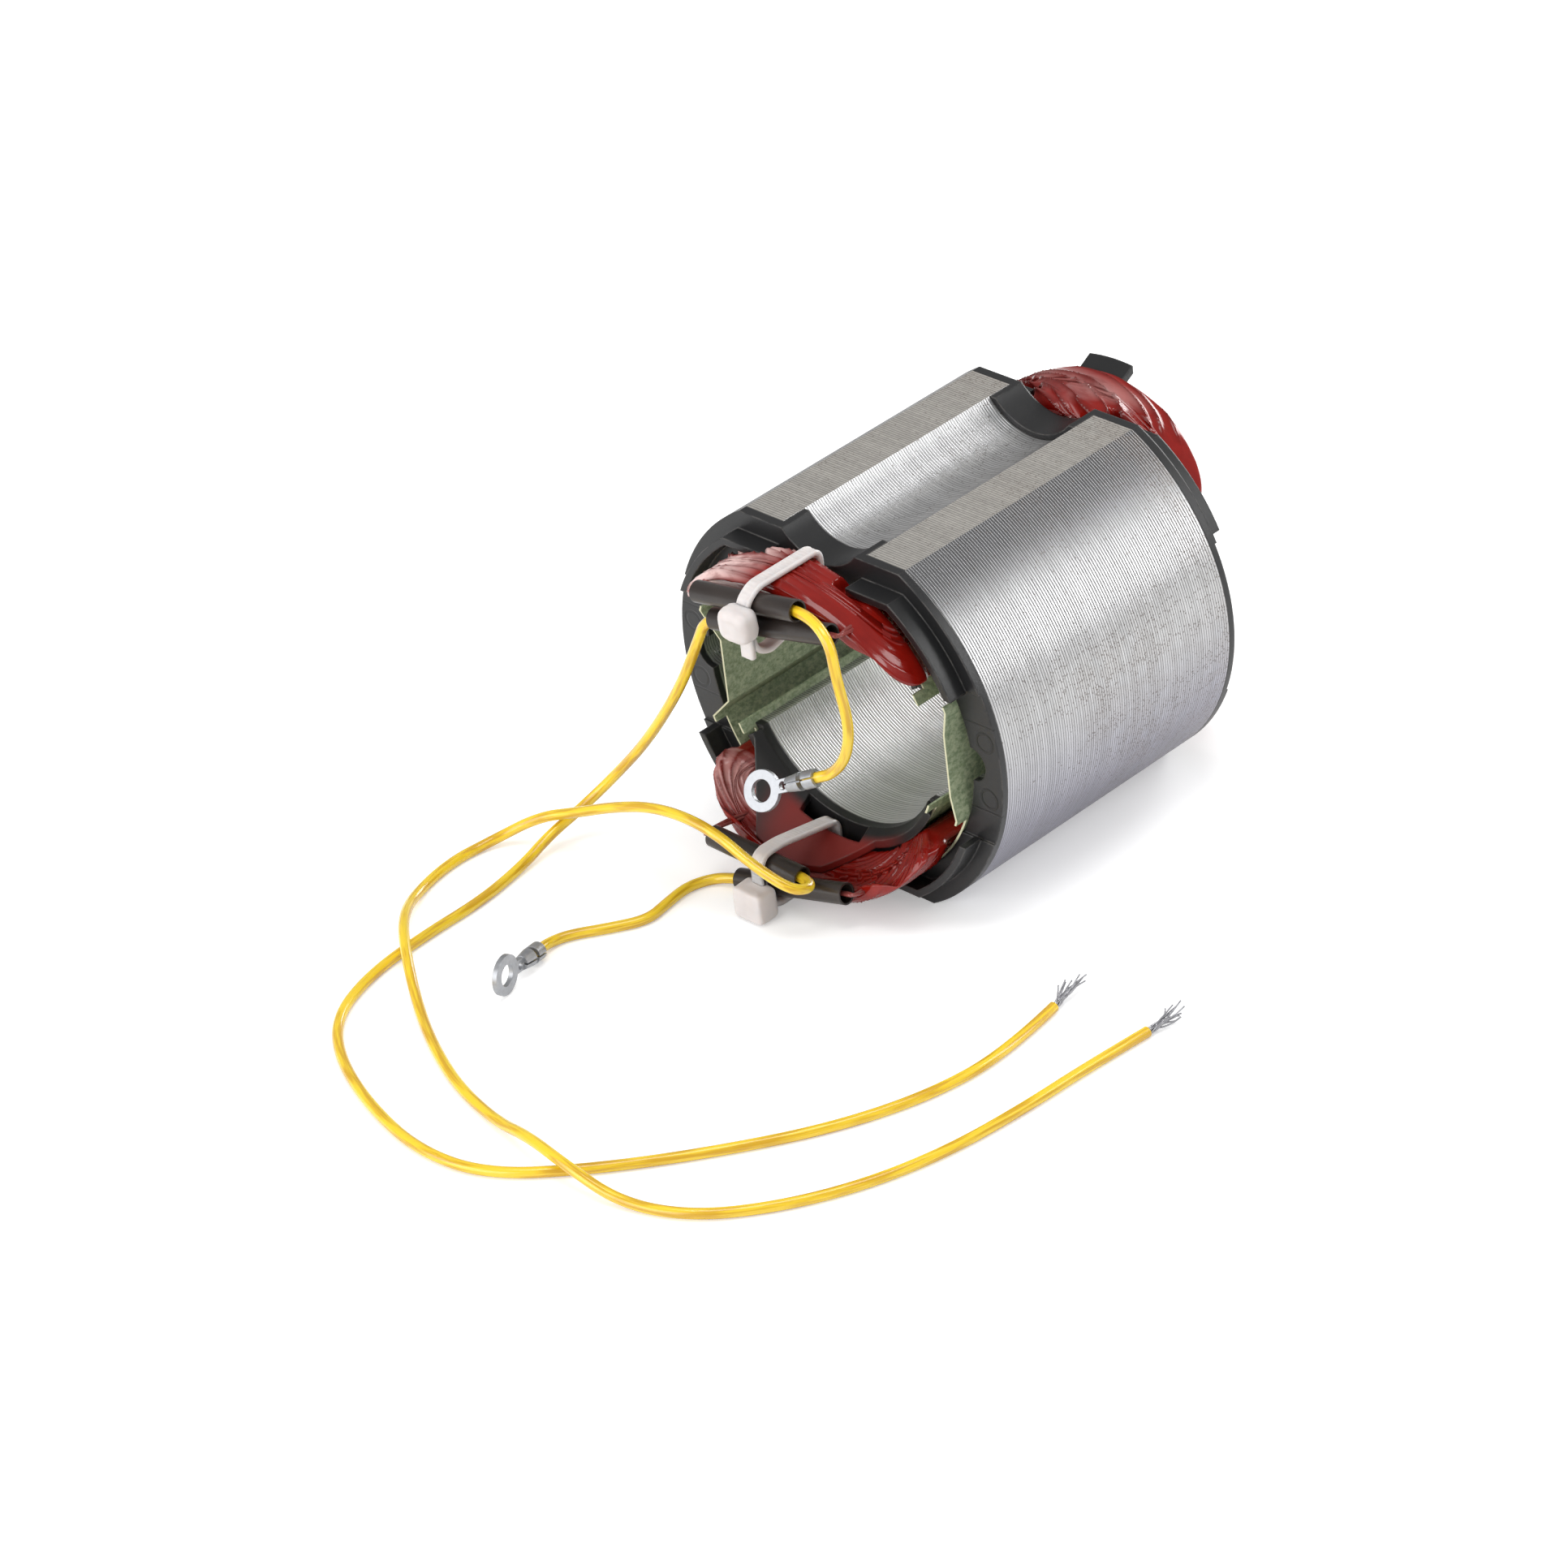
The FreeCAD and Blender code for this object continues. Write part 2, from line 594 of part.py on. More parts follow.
def rounded_wire(points):
    """Straight runs joined by tangent arcs, each as large as its two runs allow. Returns it and its radii."""
    edges = []
    radii = []
    last = points[0]
    for index in range(1, len(points) - 1):
        before = points[index - 1] - points[index]
        after = points[index + 1] - points[index]
        setback = 0.45 * min(before.Length, after.Length)
        before.normalize()
        after.normalize()
        half_turn = (math.pi - before.getAngle(after)) / 2
        radius = setback / math.tan(half_turn)
        radii.append(radius)
        start = points[index] + before * setback
        finish = points[index] + after * setback
        inward = (before + after).normalize()
        middle = points[index] + inward * (radius / math.cos(half_turn) - radius)
        edges.append(Part.LineSegment(last, start).toShape())
        edges.append(Part.Arc(start, middle, finish).toShape())
        last = finish
    edges.append(Part.LineSegment(last, points[-1]).toShape())
    return Part.Wire(edges), radii


def tube(points, diameter):
    """A round cord along that route, with its smallest radius and its length."""
    wire, radii = rounded_wire(points)
    section = Part.Wire(Part.makeCircle(diameter / 2, points[0], points[1] - points[0]))
    return wire.makePipeShell([section], True, False), radii, wire.Length


def set_shape(name, shape):
    """A piece whose shape is worked out here from the sheet's sizes."""
    feature = document.addObject("Part::Feature", name)
    feature.Label = name
    feature.Shape = shape
    return feature


def coil_tails(names):
    """The coil's two tails, from the bundle to the joints inside their sleeves."""
    diameter = value("Sizes.tail_diameter")
    middle_radius = value(COIL_RADIUS) - diameter
    tails = []
    for name in names:
        joint, bend = tail_route(name)
        outward = (bend - joint).normalize()
        home = Vector(bend.x, 0, bend.z).normalize() * middle_radius
        home.y = -(value(STACK_END) + value("Sizes.coil_reach") * 0.6)
        knee = bend + outward * 1.2
        shape, _, _ = tube([joint, knee, home], diameter)
        tails.append(set_shape(f"tail_{name}", shape))
    return tails


def make_coil(name, side, tails):
    """One winding: two sides in the slots and a head at each end, with its two tails."""
    sides_sketch = free_sketch(f"{name}_sides_sketch")
    gap = "(Sizes.liner_fit + Sizes.liner_thickness + Sizes.coil_gap)"
    lift = saddle_inside(f"{SADDLE_ROOT} + Sizes.coil_lift", NEAR_SLOPE)
    inner = f"({lift} + Sizes.saddle_wall + Sizes.coil_gap)"
    outer = f"({YOKE_RADIUS} - {gap})"
    corners = [
        (f"{POLE_SIDE} + {gap}", "above"), (f"{POLE_SIDE} + {gap}", "above"),
        ("right", "Sizes.coil_side_height"), ("right", "Sizes.coil_side_height"),
    ]
    for across in (1, -1):
        add_wire(sides_sketch, corners, arcs={1: outer, 3: inner}, flip=(across, 1))
    sides = part_object("Part::Extrusion", f"{name}_sides", Base=sides_sketch, Dir=Vector(0, 1, 0))
    sides.DirMode = "Custom"
    sides.Solid = True
    sides.Symmetric = True
    sides.setExpression("LengthFwd", f"2 * ({PLATE_FACE} + Sizes.coil_lift)")
    near = coil_head(f"{name}_near_head", NEAR_SLOPE, True)
    turned_head = coil_head(f"{name}_other_head", FAR_SLOPE, False)
    far = part_object("Part::Mirroring", f"{name}_far_head", Source=turned_head, Normal=Vector(0, 1, 0))
    bundle = part_object("Part::MultiFuse", f"{name}_bundle", Shapes=[sides, near, far])
    room = part_object("Part::Box", f"{name}_wall_room")
    under = f"({FLAT} - Sizes.wall_inset_flat - Sizes.wall_thickness - Sizes.wall_gap_clearance)"
    room.setExpression("Length", "Sizes.outer_diameter")
    room.setExpression("Width", f"2 * ({PLATE_FACE} + Sizes.wall_rise + Sizes.wall_gap_clearance)")
    room.setExpression("Height", "Sizes.outer_diameter")
    room.setExpression("Placement.Base.x", "Sizes.wall_gap / 2 - Sizes.wall_gap_clearance")
    room.setExpression("Placement.Base.y", f"-({PLATE_FACE} + Sizes.wall_rise + Sizes.wall_gap_clearance)")
    room.setExpression("Placement.Base.z", under)
    other_room = part_object("Part::Mirroring", f"{name}_other_room", Source=room, Normal=Vector(1, 0, 0))
    rooms = part_object("Part::MultiFuse", f"{name}_rooms", Shapes=[room, other_room])
    shaped = part_object("Part::Cut", f"{name}_shaped", Base=bundle, Tool=rooms)
    if side < 0:
        shaped.Placement = Placement(Vector(0, 0, 0), Rotation(Vector(0, 1, 0), 180))
    coil = part_object("Part::MultiFuse", name, Shapes=[shaped] + coil_tails(tails))
    coil.Label = name


def make_liner(name, side, hump):
    """A slot liner: one folded sheet from pole tip to pole tip, sprung inwards past the screw passage."""
    body = add_body(name)
    sketch = add_sketch(body, "fold_sketch")
    lap = "(Sizes.tip_height - Sizes.liner_lap)"
    corners = []
    arcs = {}
    for layer, order in ((0, 1), (1, -1)):
        depth = f"(Sizes.liner_fit + {layer} * Sizes.liner_thickness)"
        shoe = f"({SHOE_RADIUS} + {depth})"
        yoke = f"({YOKE_RADIUS} - {depth})"
        pole = f"({POLE_SIDE} + {depth})"
        reach = f"({hump} - {layer} * Sizes.liner_thickness)"
        lower = [
            (("right", f"-{lap}"), shoe), ((pole, "below"), None), ((pole, "below"), yoke),
            (("right", "-Sizes.hump_foot"), None), ((reach, "-Sizes.hump_height"), None),
        ]
        upper = [
            ((reach, "Sizes.hump_height"), None), (("right", "Sizes.hump_foot"), yoke),
            ((pole, "above"), None), ((pole, "above"), shoe), (("right", lap), None),
        ]
        stations = lower + upper
        if order < 0:
            points = [corner for corner, _ in reversed(stations)]
            radii = [radius for _, radius in reversed(stations)][1:] + [None]
        else:
            points = [corner for corner, _ in stations]
            radii = [radius for _, radius in stations]
        for corner, radius in zip(points, radii):
            if radius:
                arcs[len(corners)] = radius
            corners.append(corner)
    add_wire(sketch, corners, arcs=arcs, flip=(side, 1))
    pad(body, "folded_sheet", sketch, "Sizes.stack_length + 2 * Sizes.liner_reach", side="Symmetric")
    trim = add_sketch(body, "trim_sketch", "YZ_Plane")
    beyond = "(Sizes.stack_length + Sizes.liner_reach)"
    corners = [
        (PLATE_FACE, "Sizes.liner_flank"), (beyond, "Sizes.liner_flank"), (beyond, OUTER_RADIUS),
        (PLATE_FACE, OUTER_RADIUS),
    ]
    for along in (1, -1):
        for up in (1, -1):
            add_wire(trim, corners, flip=(along, up))
    cut(body, "trimmed_ends", trim)


def turn_to(direction, start):
    """A placement whose Z axis points along direction, at start."""
    return Placement(start, Rotation(Vector(0, 0, 1), direction))


def make_sleeve(name):
    """An insulating tube, open at both ends."""
    mouth, end = sleeve_ends(name)
    outside = part_object("Part::Cylinder", f"sleeve_{name}_outside")
    inside = part_object("Part::Cylinder", f"sleeve_{name}_inside")
    outside.setExpression("Radius", "Sizes.sleeve_diameter / 2")
    inside.setExpression("Radius", "Sizes.sleeve_diameter / 2 - Sizes.sleeve_wall")
    for cylinder in (outside, inside):
        cylinder.Height = (end - mouth).Length
    sleeve = part_object("Part::Cut", f"sleeve_{name}", Base=outside, Tool=inside)
    sleeve.Label = f"sleeve_{name}"
    sleeve.Placement = turn_to(end - mouth, mouth)


def make_splice(name):
    """The crimped joint of a lead and a coil's tail, inside its sleeve."""
    mouth, end = sleeve_ends(name)
    along = (end - mouth).normalize()
    splice = part_object("Part::Cylinder", f"splice_{name}")
    splice.Label = f"splice_{name}"
    splice.setExpression("Radius", "Sizes.splice_diameter / 2")
    splice.setExpression("Height", "Sizes.splice_length")
    splice.Placement = turn_to(along, mouth + along * value("Sizes.lead_insertion"))


def lead_points(name):
    """A lead's route: from its joint straight out of the sleeve, and on to its far end."""
    mouth, end = sleeve_ends(name)
    along = (end - mouth).normalize()
    ends = [mouth + along * value("Sizes.lead_insertion"), mouth - along * value("Sizes.lead_exit")]
    return ends + [Vector(*place) for place in ROUTES[name]]


def make_lead(name):
    """An insulated lead, from its joint to its far end."""
    diameter = value("Sizes.lead_diameter")
    shape, radii, length = tube(lead_points(name), diameter)
    section = math.pi * diameter ** 2 / 4
    print(f"lead_{name} length {length:.1f} volume over section {shape.Volume / section:.1f}")
    print("  radii", " ".join(f"{radius:.1f}" for radius in radii))
    if name in RING_FACES:
        points = lead_points(name)
        along = (points[-1] - points[-2]).normalize()
        grip = value("Sizes.grip_length")
        held = Part.makeCylinder(diameter / 2, grip, points[-1], along)
        bared = points[-1] + along * grip
        core = Part.makeCylinder(value("Sizes.core_diameter") / 2, value("Sizes.barrel_gap"), bared, along)
        shape = shape.fuse([held, core])
    set_shape(f"lead_{name}", shape)


def terminal_cylinder(name, radius, start, length):
    """A round stretch of a terminal along its axis."""
    cylinder = part_object("Part::Cylinder", name)
    cylinder.setExpression("Radius", radius)
    cylinder.setExpression("Height", length)
    cylinder.setExpression("Placement.Base.z", start)
    return cylinder


def terminal_strip(name, width, low, high, start, length):
    """A flat stretch of a terminal, from low to high across its thickness."""
    strip = part_object("Part::Box", name)
    strip.setExpression("Length", width)
    strip.setExpression("Width", f"{high} - ({low})")
    strip.setExpression("Height", length)
    strip.setExpression("Placement.Base.x", f"-{width} / 2")
    strip.setExpression("Placement.Base.y", low)
    strip.setExpression("Placement.Base.z", start)
    return strip


def terminal_disc(name, diameter, centre):
    """A round of the terminal's sheet with its axis across the sheet."""
    disc = part_object("Part::Cylinder", name)
    disc.setExpression("Radius", f"{diameter} / 2")
    disc.setExpression("Height", "Sizes.ring_thickness")
    disc.Placement = Placement(Vector(0, 0, 0), Rotation(Vector(1, 0, 0), 90))
    disc.setExpression("Placement.Base.y", "Sizes.ring_thickness / 2")
    disc.setExpression("Placement.Base.z", centre)
    return disc


def make_terminal(name):
    """A ring terminal stamped from one strip: insulation grip, gap, wire barrel, pierced neck and ring."""
    points = lead_points(name)
    along = (points[-1] - points[-2]).normalize()
    across = RING_FACES[name].cross(along).normalize()
    face = along.cross(across)
    grip_radius = "Sizes.grip_diameter / 2"
    bore_radius = "(Sizes.lead_diameter / 2 + Sizes.grip_fit)"
    barrel_start = "(Sizes.grip_length + Sizes.barrel_gap)"
    barrel_end = f"({barrel_start} + Sizes.barrel_length)"
    sheet_face = "Sizes.ring_thickness / 2"
    grip = terminal_cylinder(f"grip_{name}", grip_radius, "0", "Sizes.grip_length")
    grip_bore = terminal_cylinder(f"grip_bore_{name}", bore_radius, "0", "Sizes.grip_length")
    open_grip = part_object("Part::Cut", f"open_grip_{name}", Base=grip, Tool=grip_bore)
    spine = terminal_strip(
        f"spine_{name}", "Sizes.spine_width", f"-{grip_radius} + Sizes.spine_cover",
        f"-{bore_radius} - Sizes.grip_fit", "0", f"{barrel_start} + Sizes.spine_cover",
    )
    barrel = part_object("Part::Cone", f"barrel_{name}")
    barrel.setExpression("Radius1", grip_radius)
    barrel.setExpression("Radius2", "Sizes.barrel_diameter / 2")
    barrel.setExpression("Height", "Sizes.barrel_length")
    barrel.setExpression("Placement.Base.z", barrel_start)
    neck_start = f"({barrel_end} - Sizes.barrel_length / 2)"
    neck = terminal_strip(
        f"neck_{name}", "Sizes.neck_width", f"-{sheet_face}", sheet_face, neck_start,
        f"Sizes.ring_centre - {neck_start}",
    )
    ring = terminal_disc(f"ring_{name}", "Sizes.ring_diameter", "Sizes.ring_centre")
    solid = part_object("Part::MultiFuse", f"blank_{name}", Shapes=[open_grip, spine, barrel, neck, ring])
    hole = terminal_disc(f"ring_hole_{name}", "Sizes.ring_hole", "Sizes.ring_centre")
    peep_centre = f"({barrel_end} + Sizes.ring_centre - Sizes.ring_diameter / 2) / 2"
    peep = terminal_disc(f"peep_{name}", "Sizes.peep_diameter", peep_centre)
    seam_bottom = "Sizes.core_diameter / 2"
    seam = terminal_strip(f"seam_{name}", "Sizes.seam_width", seam_bottom, grip_radius, "0", barrel_end)
    openings = part_object("Part::MultiFuse", f"openings_{name}", Shapes=[hole, peep, seam])
    terminal = part_object("Part::Cut", f"ring_terminal_{name}", Base=solid, Tool=openings)
    terminal.Label = f"ring_terminal_{name}"
    terminal.Placement = Placement(points[-1], Rotation(across, face, along))


def make_strands(name):
    """The stripped end of a long lead, its strands frayed apart and joined where they leave the insulation."""
    points = lead_points(name)
    along = (points[-1] - points[-2]).normalize()
    aside = along.cross(Vector(0, 0, 1)).normalize()
    radius = value("Sizes.strand_diameter") / 2
    root = value("Sizes.lead_diameter") * 0.28
    shapes = [Part.makeCone(root + radius, root, 1.6, points[-1], along)]
    for index, (sideways, up) in enumerate(STRAND_LEANS):
        turn = 2 * math.pi * index / len(STRAND_LEANS)
        ring = aside * math.cos(turn) + Vector(0, 0, 1) * math.sin(turn)
        start = points[-1] + ring * (root * 0.7) + along * 0.4
        reach = along * (value("Sizes.strand_length") - 0.5 * (index % 3))
        finish = start + reach + aside * sideways * 1.6 + Vector(0, 0, 1) * up * 1.6
        shapes.append(Part.makeCylinder(radius, (finish - start).Length, start, finish - start))
    set_shape(f"strand_end_{name}", shapes[0].fuse(shapes[1:]))


def rounded_loop(corners, plane_x):
    """A closed loop in a plane across X with all of its corners rounded to the strap's radius."""
    radius = value("Sizes.strap_round")
    points = [Vector(plane_x, along, up) for along, up in corners]
    edges = []
    cuts = []
    for index, point in enumerate(points):
        before = (points[index - 1] - point).normalize()
        after = (points[(index + 1) % len(points)] - point).normalize()
        half_turn = (math.pi - before.getAngle(after)) / 2
        setback = radius * math.tan(half_turn)
        inward = (before + after).normalize()
        middle = point + inward * (radius / math.cos(half_turn) - radius)
        cuts.append((point + before * setback, middle, point + after * setback))
    for index, (start, middle, finish) in enumerate(cuts):
        edges.append(Part.Arc(start, middle, finish).toShape())
        edges.append(Part.LineSegment(finish, cuts[(index + 1) % len(cuts)][0]).toShape())
    return Part.Wire(edges)


def make_tie(name, corners, lock_centre, tail_foot, tail_length):
    """A nylon tie: its strap's loop round coil, saddle and sleeves, with the lock and the cut tail."""
    thickness = value("Sizes.strap_thickness")
    width = value("Sizes.strap_width")
    side_x = lock_centre.x - width / 2
    inner = rounded_loop(corners, side_x)
    outer = inner.makeOffset2D(thickness)
    opening = Part.Face(inner).extrude(Vector(width, 0, 0))
    strap = Part.Face(outer).extrude(Vector(width, 0, 0)).cut(opening)
    size = Vector(value("Sizes.lock_width"), value("Sizes.lock_depth"), value("Sizes.lock_height"))
    lock = Part.makeBox(size.x, size.y, size.z, lock_centre - size * 0.5)
    lock = lock.makeFillet(0.9, lock.Edges).Solids[0]
    end = Part.makeBox(width, thickness, tail_length, Vector(side_x, tail_foot.y, tail_foot.z))
    inside = Part.Face(inner).extrude(Vector(size.x, 0, 0))
    inside.translate(Vector(-size.x / 2 + width / 2, 0, 0))
    set_shape(name, strap.fuse([lock.cut(inside), end]))


def tie_corners(side, places):
    """Corners (y, z) of a tie's loop, each given like a place beside the coil, or as its y and z."""
    corners = []
    for kind, first, second in places:
        if kind == "coil":
            place = beside_coil(0, first, second, side)
            corners.append((place.y, place.z))
        else:
            corners.append((first, side * second))
    return corners


def make_ties():
    """The two ties. Each goes through the saddle's window, under the coil, round the sleeves and over."""
    leg = -(value(PLATE_FACE) + value("Sizes.plate_gap") + value("Sizes.strap_thickness"))
    cover = value("Sizes.plate_gap") + value("Sizes.strap_thickness")
    bore = value(BORE_RADIUS)
    roof = value(FLAT) - cover
    upper = tie_corners(1, [
        ("stack", leg, roof), ("coil", 2.4, cover), ("coil", 4.6, 2.75), ("coil", 4.6, 6.65),
        ("coil", 3.8, 10.25), ("coil", 1.6, 11.45), ("stack", leg - 1.45, bore + 0.15),
        ("stack", leg, bore + 1.35),
    ])
    lower = tie_corners(-1, [
        ("stack", leg, roof), ("stack", leg, bore + 1.05), ("stack", leg - 1.45, bore + 0.65),
        ("coil", 1.0, 9.85), ("coil", 4.6, 9.95), ("coil", 5.6, 8.85), ("coil", 5.6, 6.25),
        ("coil", 4.8, 2.45), ("coil", 3.4, cover),
    ])
    make_tie("upper_tie", upper, beside_coil(0.0, 6.4, 5.25, 1), beside_coil(0.0, 5.6, 11.65, 1), 4.0)
    make_tie("lower_tie", lower, beside_coil(-3.0, 7.4, 2.95, -1), beside_coil(-3.0, 6.6, 5.65, -1), 2.4)


def check_objects():
    """Stops the build if any object failed."""
    for item in document.Objects:
        if "Invalid" in item.State or "Error" in item.State:
            raise ValueError(f"{item.Name} failed: {item.State}")


def export(labels):
    os.makedirs("parts", exist_ok=True)
    for label in labels:
        item = document.getObjectsByLabel(label)[0]
        shape = item.Shape
        if shape.isNull() or not shape.isValid() or not shape.Solids:
            raise ValueError(f"{label} has no valid solid")
        print(f"{label}: {len(shape.Solids)} solid, volume {shape.Volume:.1f}")
        shape.exportStep(f"parts/{label}.step")


make_stack()
make_end_plate("near_end_plate", near_saddle_front(), "Sizes.crest_reach", NEAR_SLOPE)
far_plate = make_end_plate("far_end_plate", far_saddle_front(), "Sizes.tab_reach", FAR_SLOPE)
far_plate.Placement = Placement(Vector(0, 0, 0), Rotation(Vector(0, 0, 1), 180))
make_liner("left_slot_liner", -1, "Sizes.left_hump")
make_liner("right_slot_liner", 1, "Sizes.right_hump")
make_coil("upper_coil", 1, ("a", "b"))
make_coil("lower_coil", -1, ("c", "d"))
for letter in SLEEVES:
    make_sleeve(letter)
    make_splice(letter)
    make_lead(letter)
for letter in RING_FACES:
    make_terminal(letter)
for letter in ("b", "c"):
    make_strands(letter)
make_ties()
document.recompute()
check_objects()

NODES = ["lamination_stack", "near_end_plate", "far_end_plate", "left_slot_liner", "right_slot_liner"]
NODES += ["upper_coil", "lower_coil", "upper_tie", "lower_tie"]
NODES += [f"{kind}_{letter}" for kind in ("sleeve", "splice", "lead") for letter in SLEEVES]
NODES += [f"ring_terminal_{letter}" for letter in RING_FACES]
NODES += ["strand_end_b", "strand_end_c"]
export(NODES)
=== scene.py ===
import json
import math
import random

import bpy
from mathutils import Matrix, Vector, noise


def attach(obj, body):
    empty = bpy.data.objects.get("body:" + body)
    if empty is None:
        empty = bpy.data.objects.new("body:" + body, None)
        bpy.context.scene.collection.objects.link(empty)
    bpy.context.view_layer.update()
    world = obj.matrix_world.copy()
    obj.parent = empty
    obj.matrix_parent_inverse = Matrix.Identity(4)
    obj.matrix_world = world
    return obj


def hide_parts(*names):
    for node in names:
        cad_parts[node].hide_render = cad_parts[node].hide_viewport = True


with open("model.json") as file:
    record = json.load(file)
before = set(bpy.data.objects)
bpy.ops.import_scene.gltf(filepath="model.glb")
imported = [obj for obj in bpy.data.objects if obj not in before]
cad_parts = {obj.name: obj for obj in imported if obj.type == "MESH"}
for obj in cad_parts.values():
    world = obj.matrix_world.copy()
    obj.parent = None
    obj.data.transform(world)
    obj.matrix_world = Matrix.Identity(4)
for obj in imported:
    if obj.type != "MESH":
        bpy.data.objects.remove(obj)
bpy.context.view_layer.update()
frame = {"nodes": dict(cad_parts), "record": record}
scene = bpy.context.scene
MM = 0.001

# Height of a lead's centre line where it lies on the floor, and the floor itself, in millimetres
LAID = -28.2
FLOOR = -29.05

# Camera, fitted to the photograph
CAMERA_PLACE = (563.73, -542.58, 471.86)
CAMERA_RIGHT = Vector((0.7103765, 0.6961125, -0.1042921))
CAMERA_FORWARD = Vector((-0.6301829, 0.5626506, -0.5351472))
CAMERA_LENS = 136.8

# Leads and their sleeves, in millimetres. A sleeve goes from the mouth that its lead leaves to its far end.
LEAD_DIAMETER = 1.7
SLEEVES = {
    "a": (Vector((8.9, -40.3, 27.1)), Vector((-12.8, -40.0, 22.9))),
    "b": (Vector((-10.0, -39.9, 19.1)), Vector((14.1, -39.0, 24.2))),
    "c": (Vector((4.0, -41.4, -21.1)), Vector((-15.2, -41.2, -21.0))),
    "d": (Vector((-10.5, -41.0, -27.2)), Vector((10.7, -38.9, -22.8))),
}
LEAD_INSERTION = 2.5
LEAD_EXIT = 1.8
# The stretch of a short lead that its ring terminal grips
GRIP_LENGTH = 2.0
# The golden streaks under the insulation change over this length
STREAK_LENGTH = 9
LEAD_LENGTHS = {"a": 42.1, "b": 260.0, "c": 274.5, "d": 42.2}
# Each lead's control points beyond its sleeve
ROUTES = {
    "a": [
        (16.9, -42.1, 25.8), (17.8, -42.4, 19.8), (18.8, -41.8, 11.8), (16.8, -41.2, 5.2),
        (13.1, -40.9, 0.7), (10.4, -41.9, -0.5),
    ],
    "b": [
        (-14.6, -40.0, 13.0), (-20.0, -40.0, 3.0), (-29.0, -40.0, -9.5), (-37.4, -41.2, -19.0),
        (-40.8, -45.3, -23.5), (-42.7, -50.6, -26.2), (-42.2, -57.5, LAID), (-40.4, -68.0, LAID),
        (-40.6, -80.0, LAID), (-39.6, -92.0, LAID), (-35.5, -102.5, LAID), (-27.0, -109.5, LAID),
        (-14.0, -115.0, LAID), (0.0, -118.2, LAID), (12.5, -116.2, LAID), (24.0, -106.0, LAID),
        (35.0, -93.0, LAID), (45.0, -78.5, LAID), (51.0, -64.0, LAID), (52.8, -50.0, LAID),
        (50.6, -37.0, LAID),
    ],
    "c": [
        (7.6, -43.7, -20.6), (6.2, -46.3, -19.7), (-0.5, -47.4, -17.0), (-6.4, -47.4, -14.6),
        (-13.4, -47.5, -13.6), (-21.4, -47.6, -14.6), (-30.0, -47.8, -17.8), (-37.8, -48.4, -21.4),
        (-45.2, -50.3, -24.0), (-51.4, -55.0, LAID), (-52.4, -63.5, LAID), (-50.0, -73.5, LAID),
        (-43.5, -81.0, -25.4), (-37.0, -86.5, -25.4), (-28.0, -92.8, LAID), (-18.0, -98.8, LAID),
        (-7.0, -103.8, LAID), (4.0, -106.4, LAID), (13.5, -108.6, -25.4), (23.0, -110.2, -25.4),
        (33.0, -109.4, LAID), (43.5, -105.5, LAID), (52.0, -96.5, LAID), (58.5, -85.0, LAID),
        (62.5, -72.0, LAID), (64.2, -58.0, LAID), (64.8, -45.5, LAID), (66.0, -33.6, LAID),
    ],
    "d": [
        (-15.4, -42.7, LAID), (-16.9, -46.6, LAID), (-16.2, -51.6, LAID), (-15.4, -56.4, LAID),
        (-18.6, -61.4, LAID), (-22.4, -66.4, LAID), (-23.3, -69.8, -28.1), (-22.4, -72.7, -27.5),
    ],
}

# Windings, in millimetres from the axis and from the end of the stack
STACK_END = 25.0
HEAD_START = 3.05
HEAD_REACH = 12.7
HEAD_RADIUS = 27.75
SLOT_RADIUS = 27.0
SLOT_ACROSS = 11.75
SLOT_FLOOR = 14.2
SLOT_INSIDE = 22.65
# The cones that the near and the far head's turns lie on
SADDLE_DEPTH = 1.6
SADDLE_RADIUS = 21.75
SADDLE_SLOPES = (0.625, 0.532)
# The turns that hang down in front of the near saddle's crest
LIP_DEPTH = 10.6
LIP_RADIUS = 24.7
LIP_SLOPE = 0.36
LIP_EASE = 0.8
# The underside of the end plate's wall, half the width of its gap and how deep the wall reaches
WALL_HEIGHT = 24.35
WALL_START = 6.9
WALL_DEPTH = 6.5
# A head's section is a rounded rectangle, drawn with this power and this many steps
SECTION_POWER = 0.42
SECTION_STEPS = 720
BUNDLE_GIRTH = 27.0
RING_COLUMNS = 176
# Rows along the near head, the right slot, the far head and the left slot
RUN_STEPS = (240, 10, 200, 10)
# Each pair goes with the near and the far half: strands round the bundle, their turn along a head as a share
# of the way round, and the depth of their furrows as a share of a strand's width
WINDINGS = {
    "upper_coil": {
        "flip": False, "tails": "ab", "seed": 3.0,
        "strands": (21, 13), "lay": (0.06, 0.62), "depth": (0.7, 0.42),
    },
    "lower_coil": {
        "flip": True, "tails": "cd", "seed": 41.0,
        "strands": (32, 24), "lay": (-0.55, 0.4), "depth": (0.5, 0.45),
    },
}
# A coil's tails: twisted pairs from the joint in each sleeve to the bundle
TAIL_RADIUS = 0.3
TAIL_TWIST = 0.27
TAIL_JOINT = 8.6
TAIL_HOME_RADIUS = 26.4
TAIL_HOME_Y = -33.0

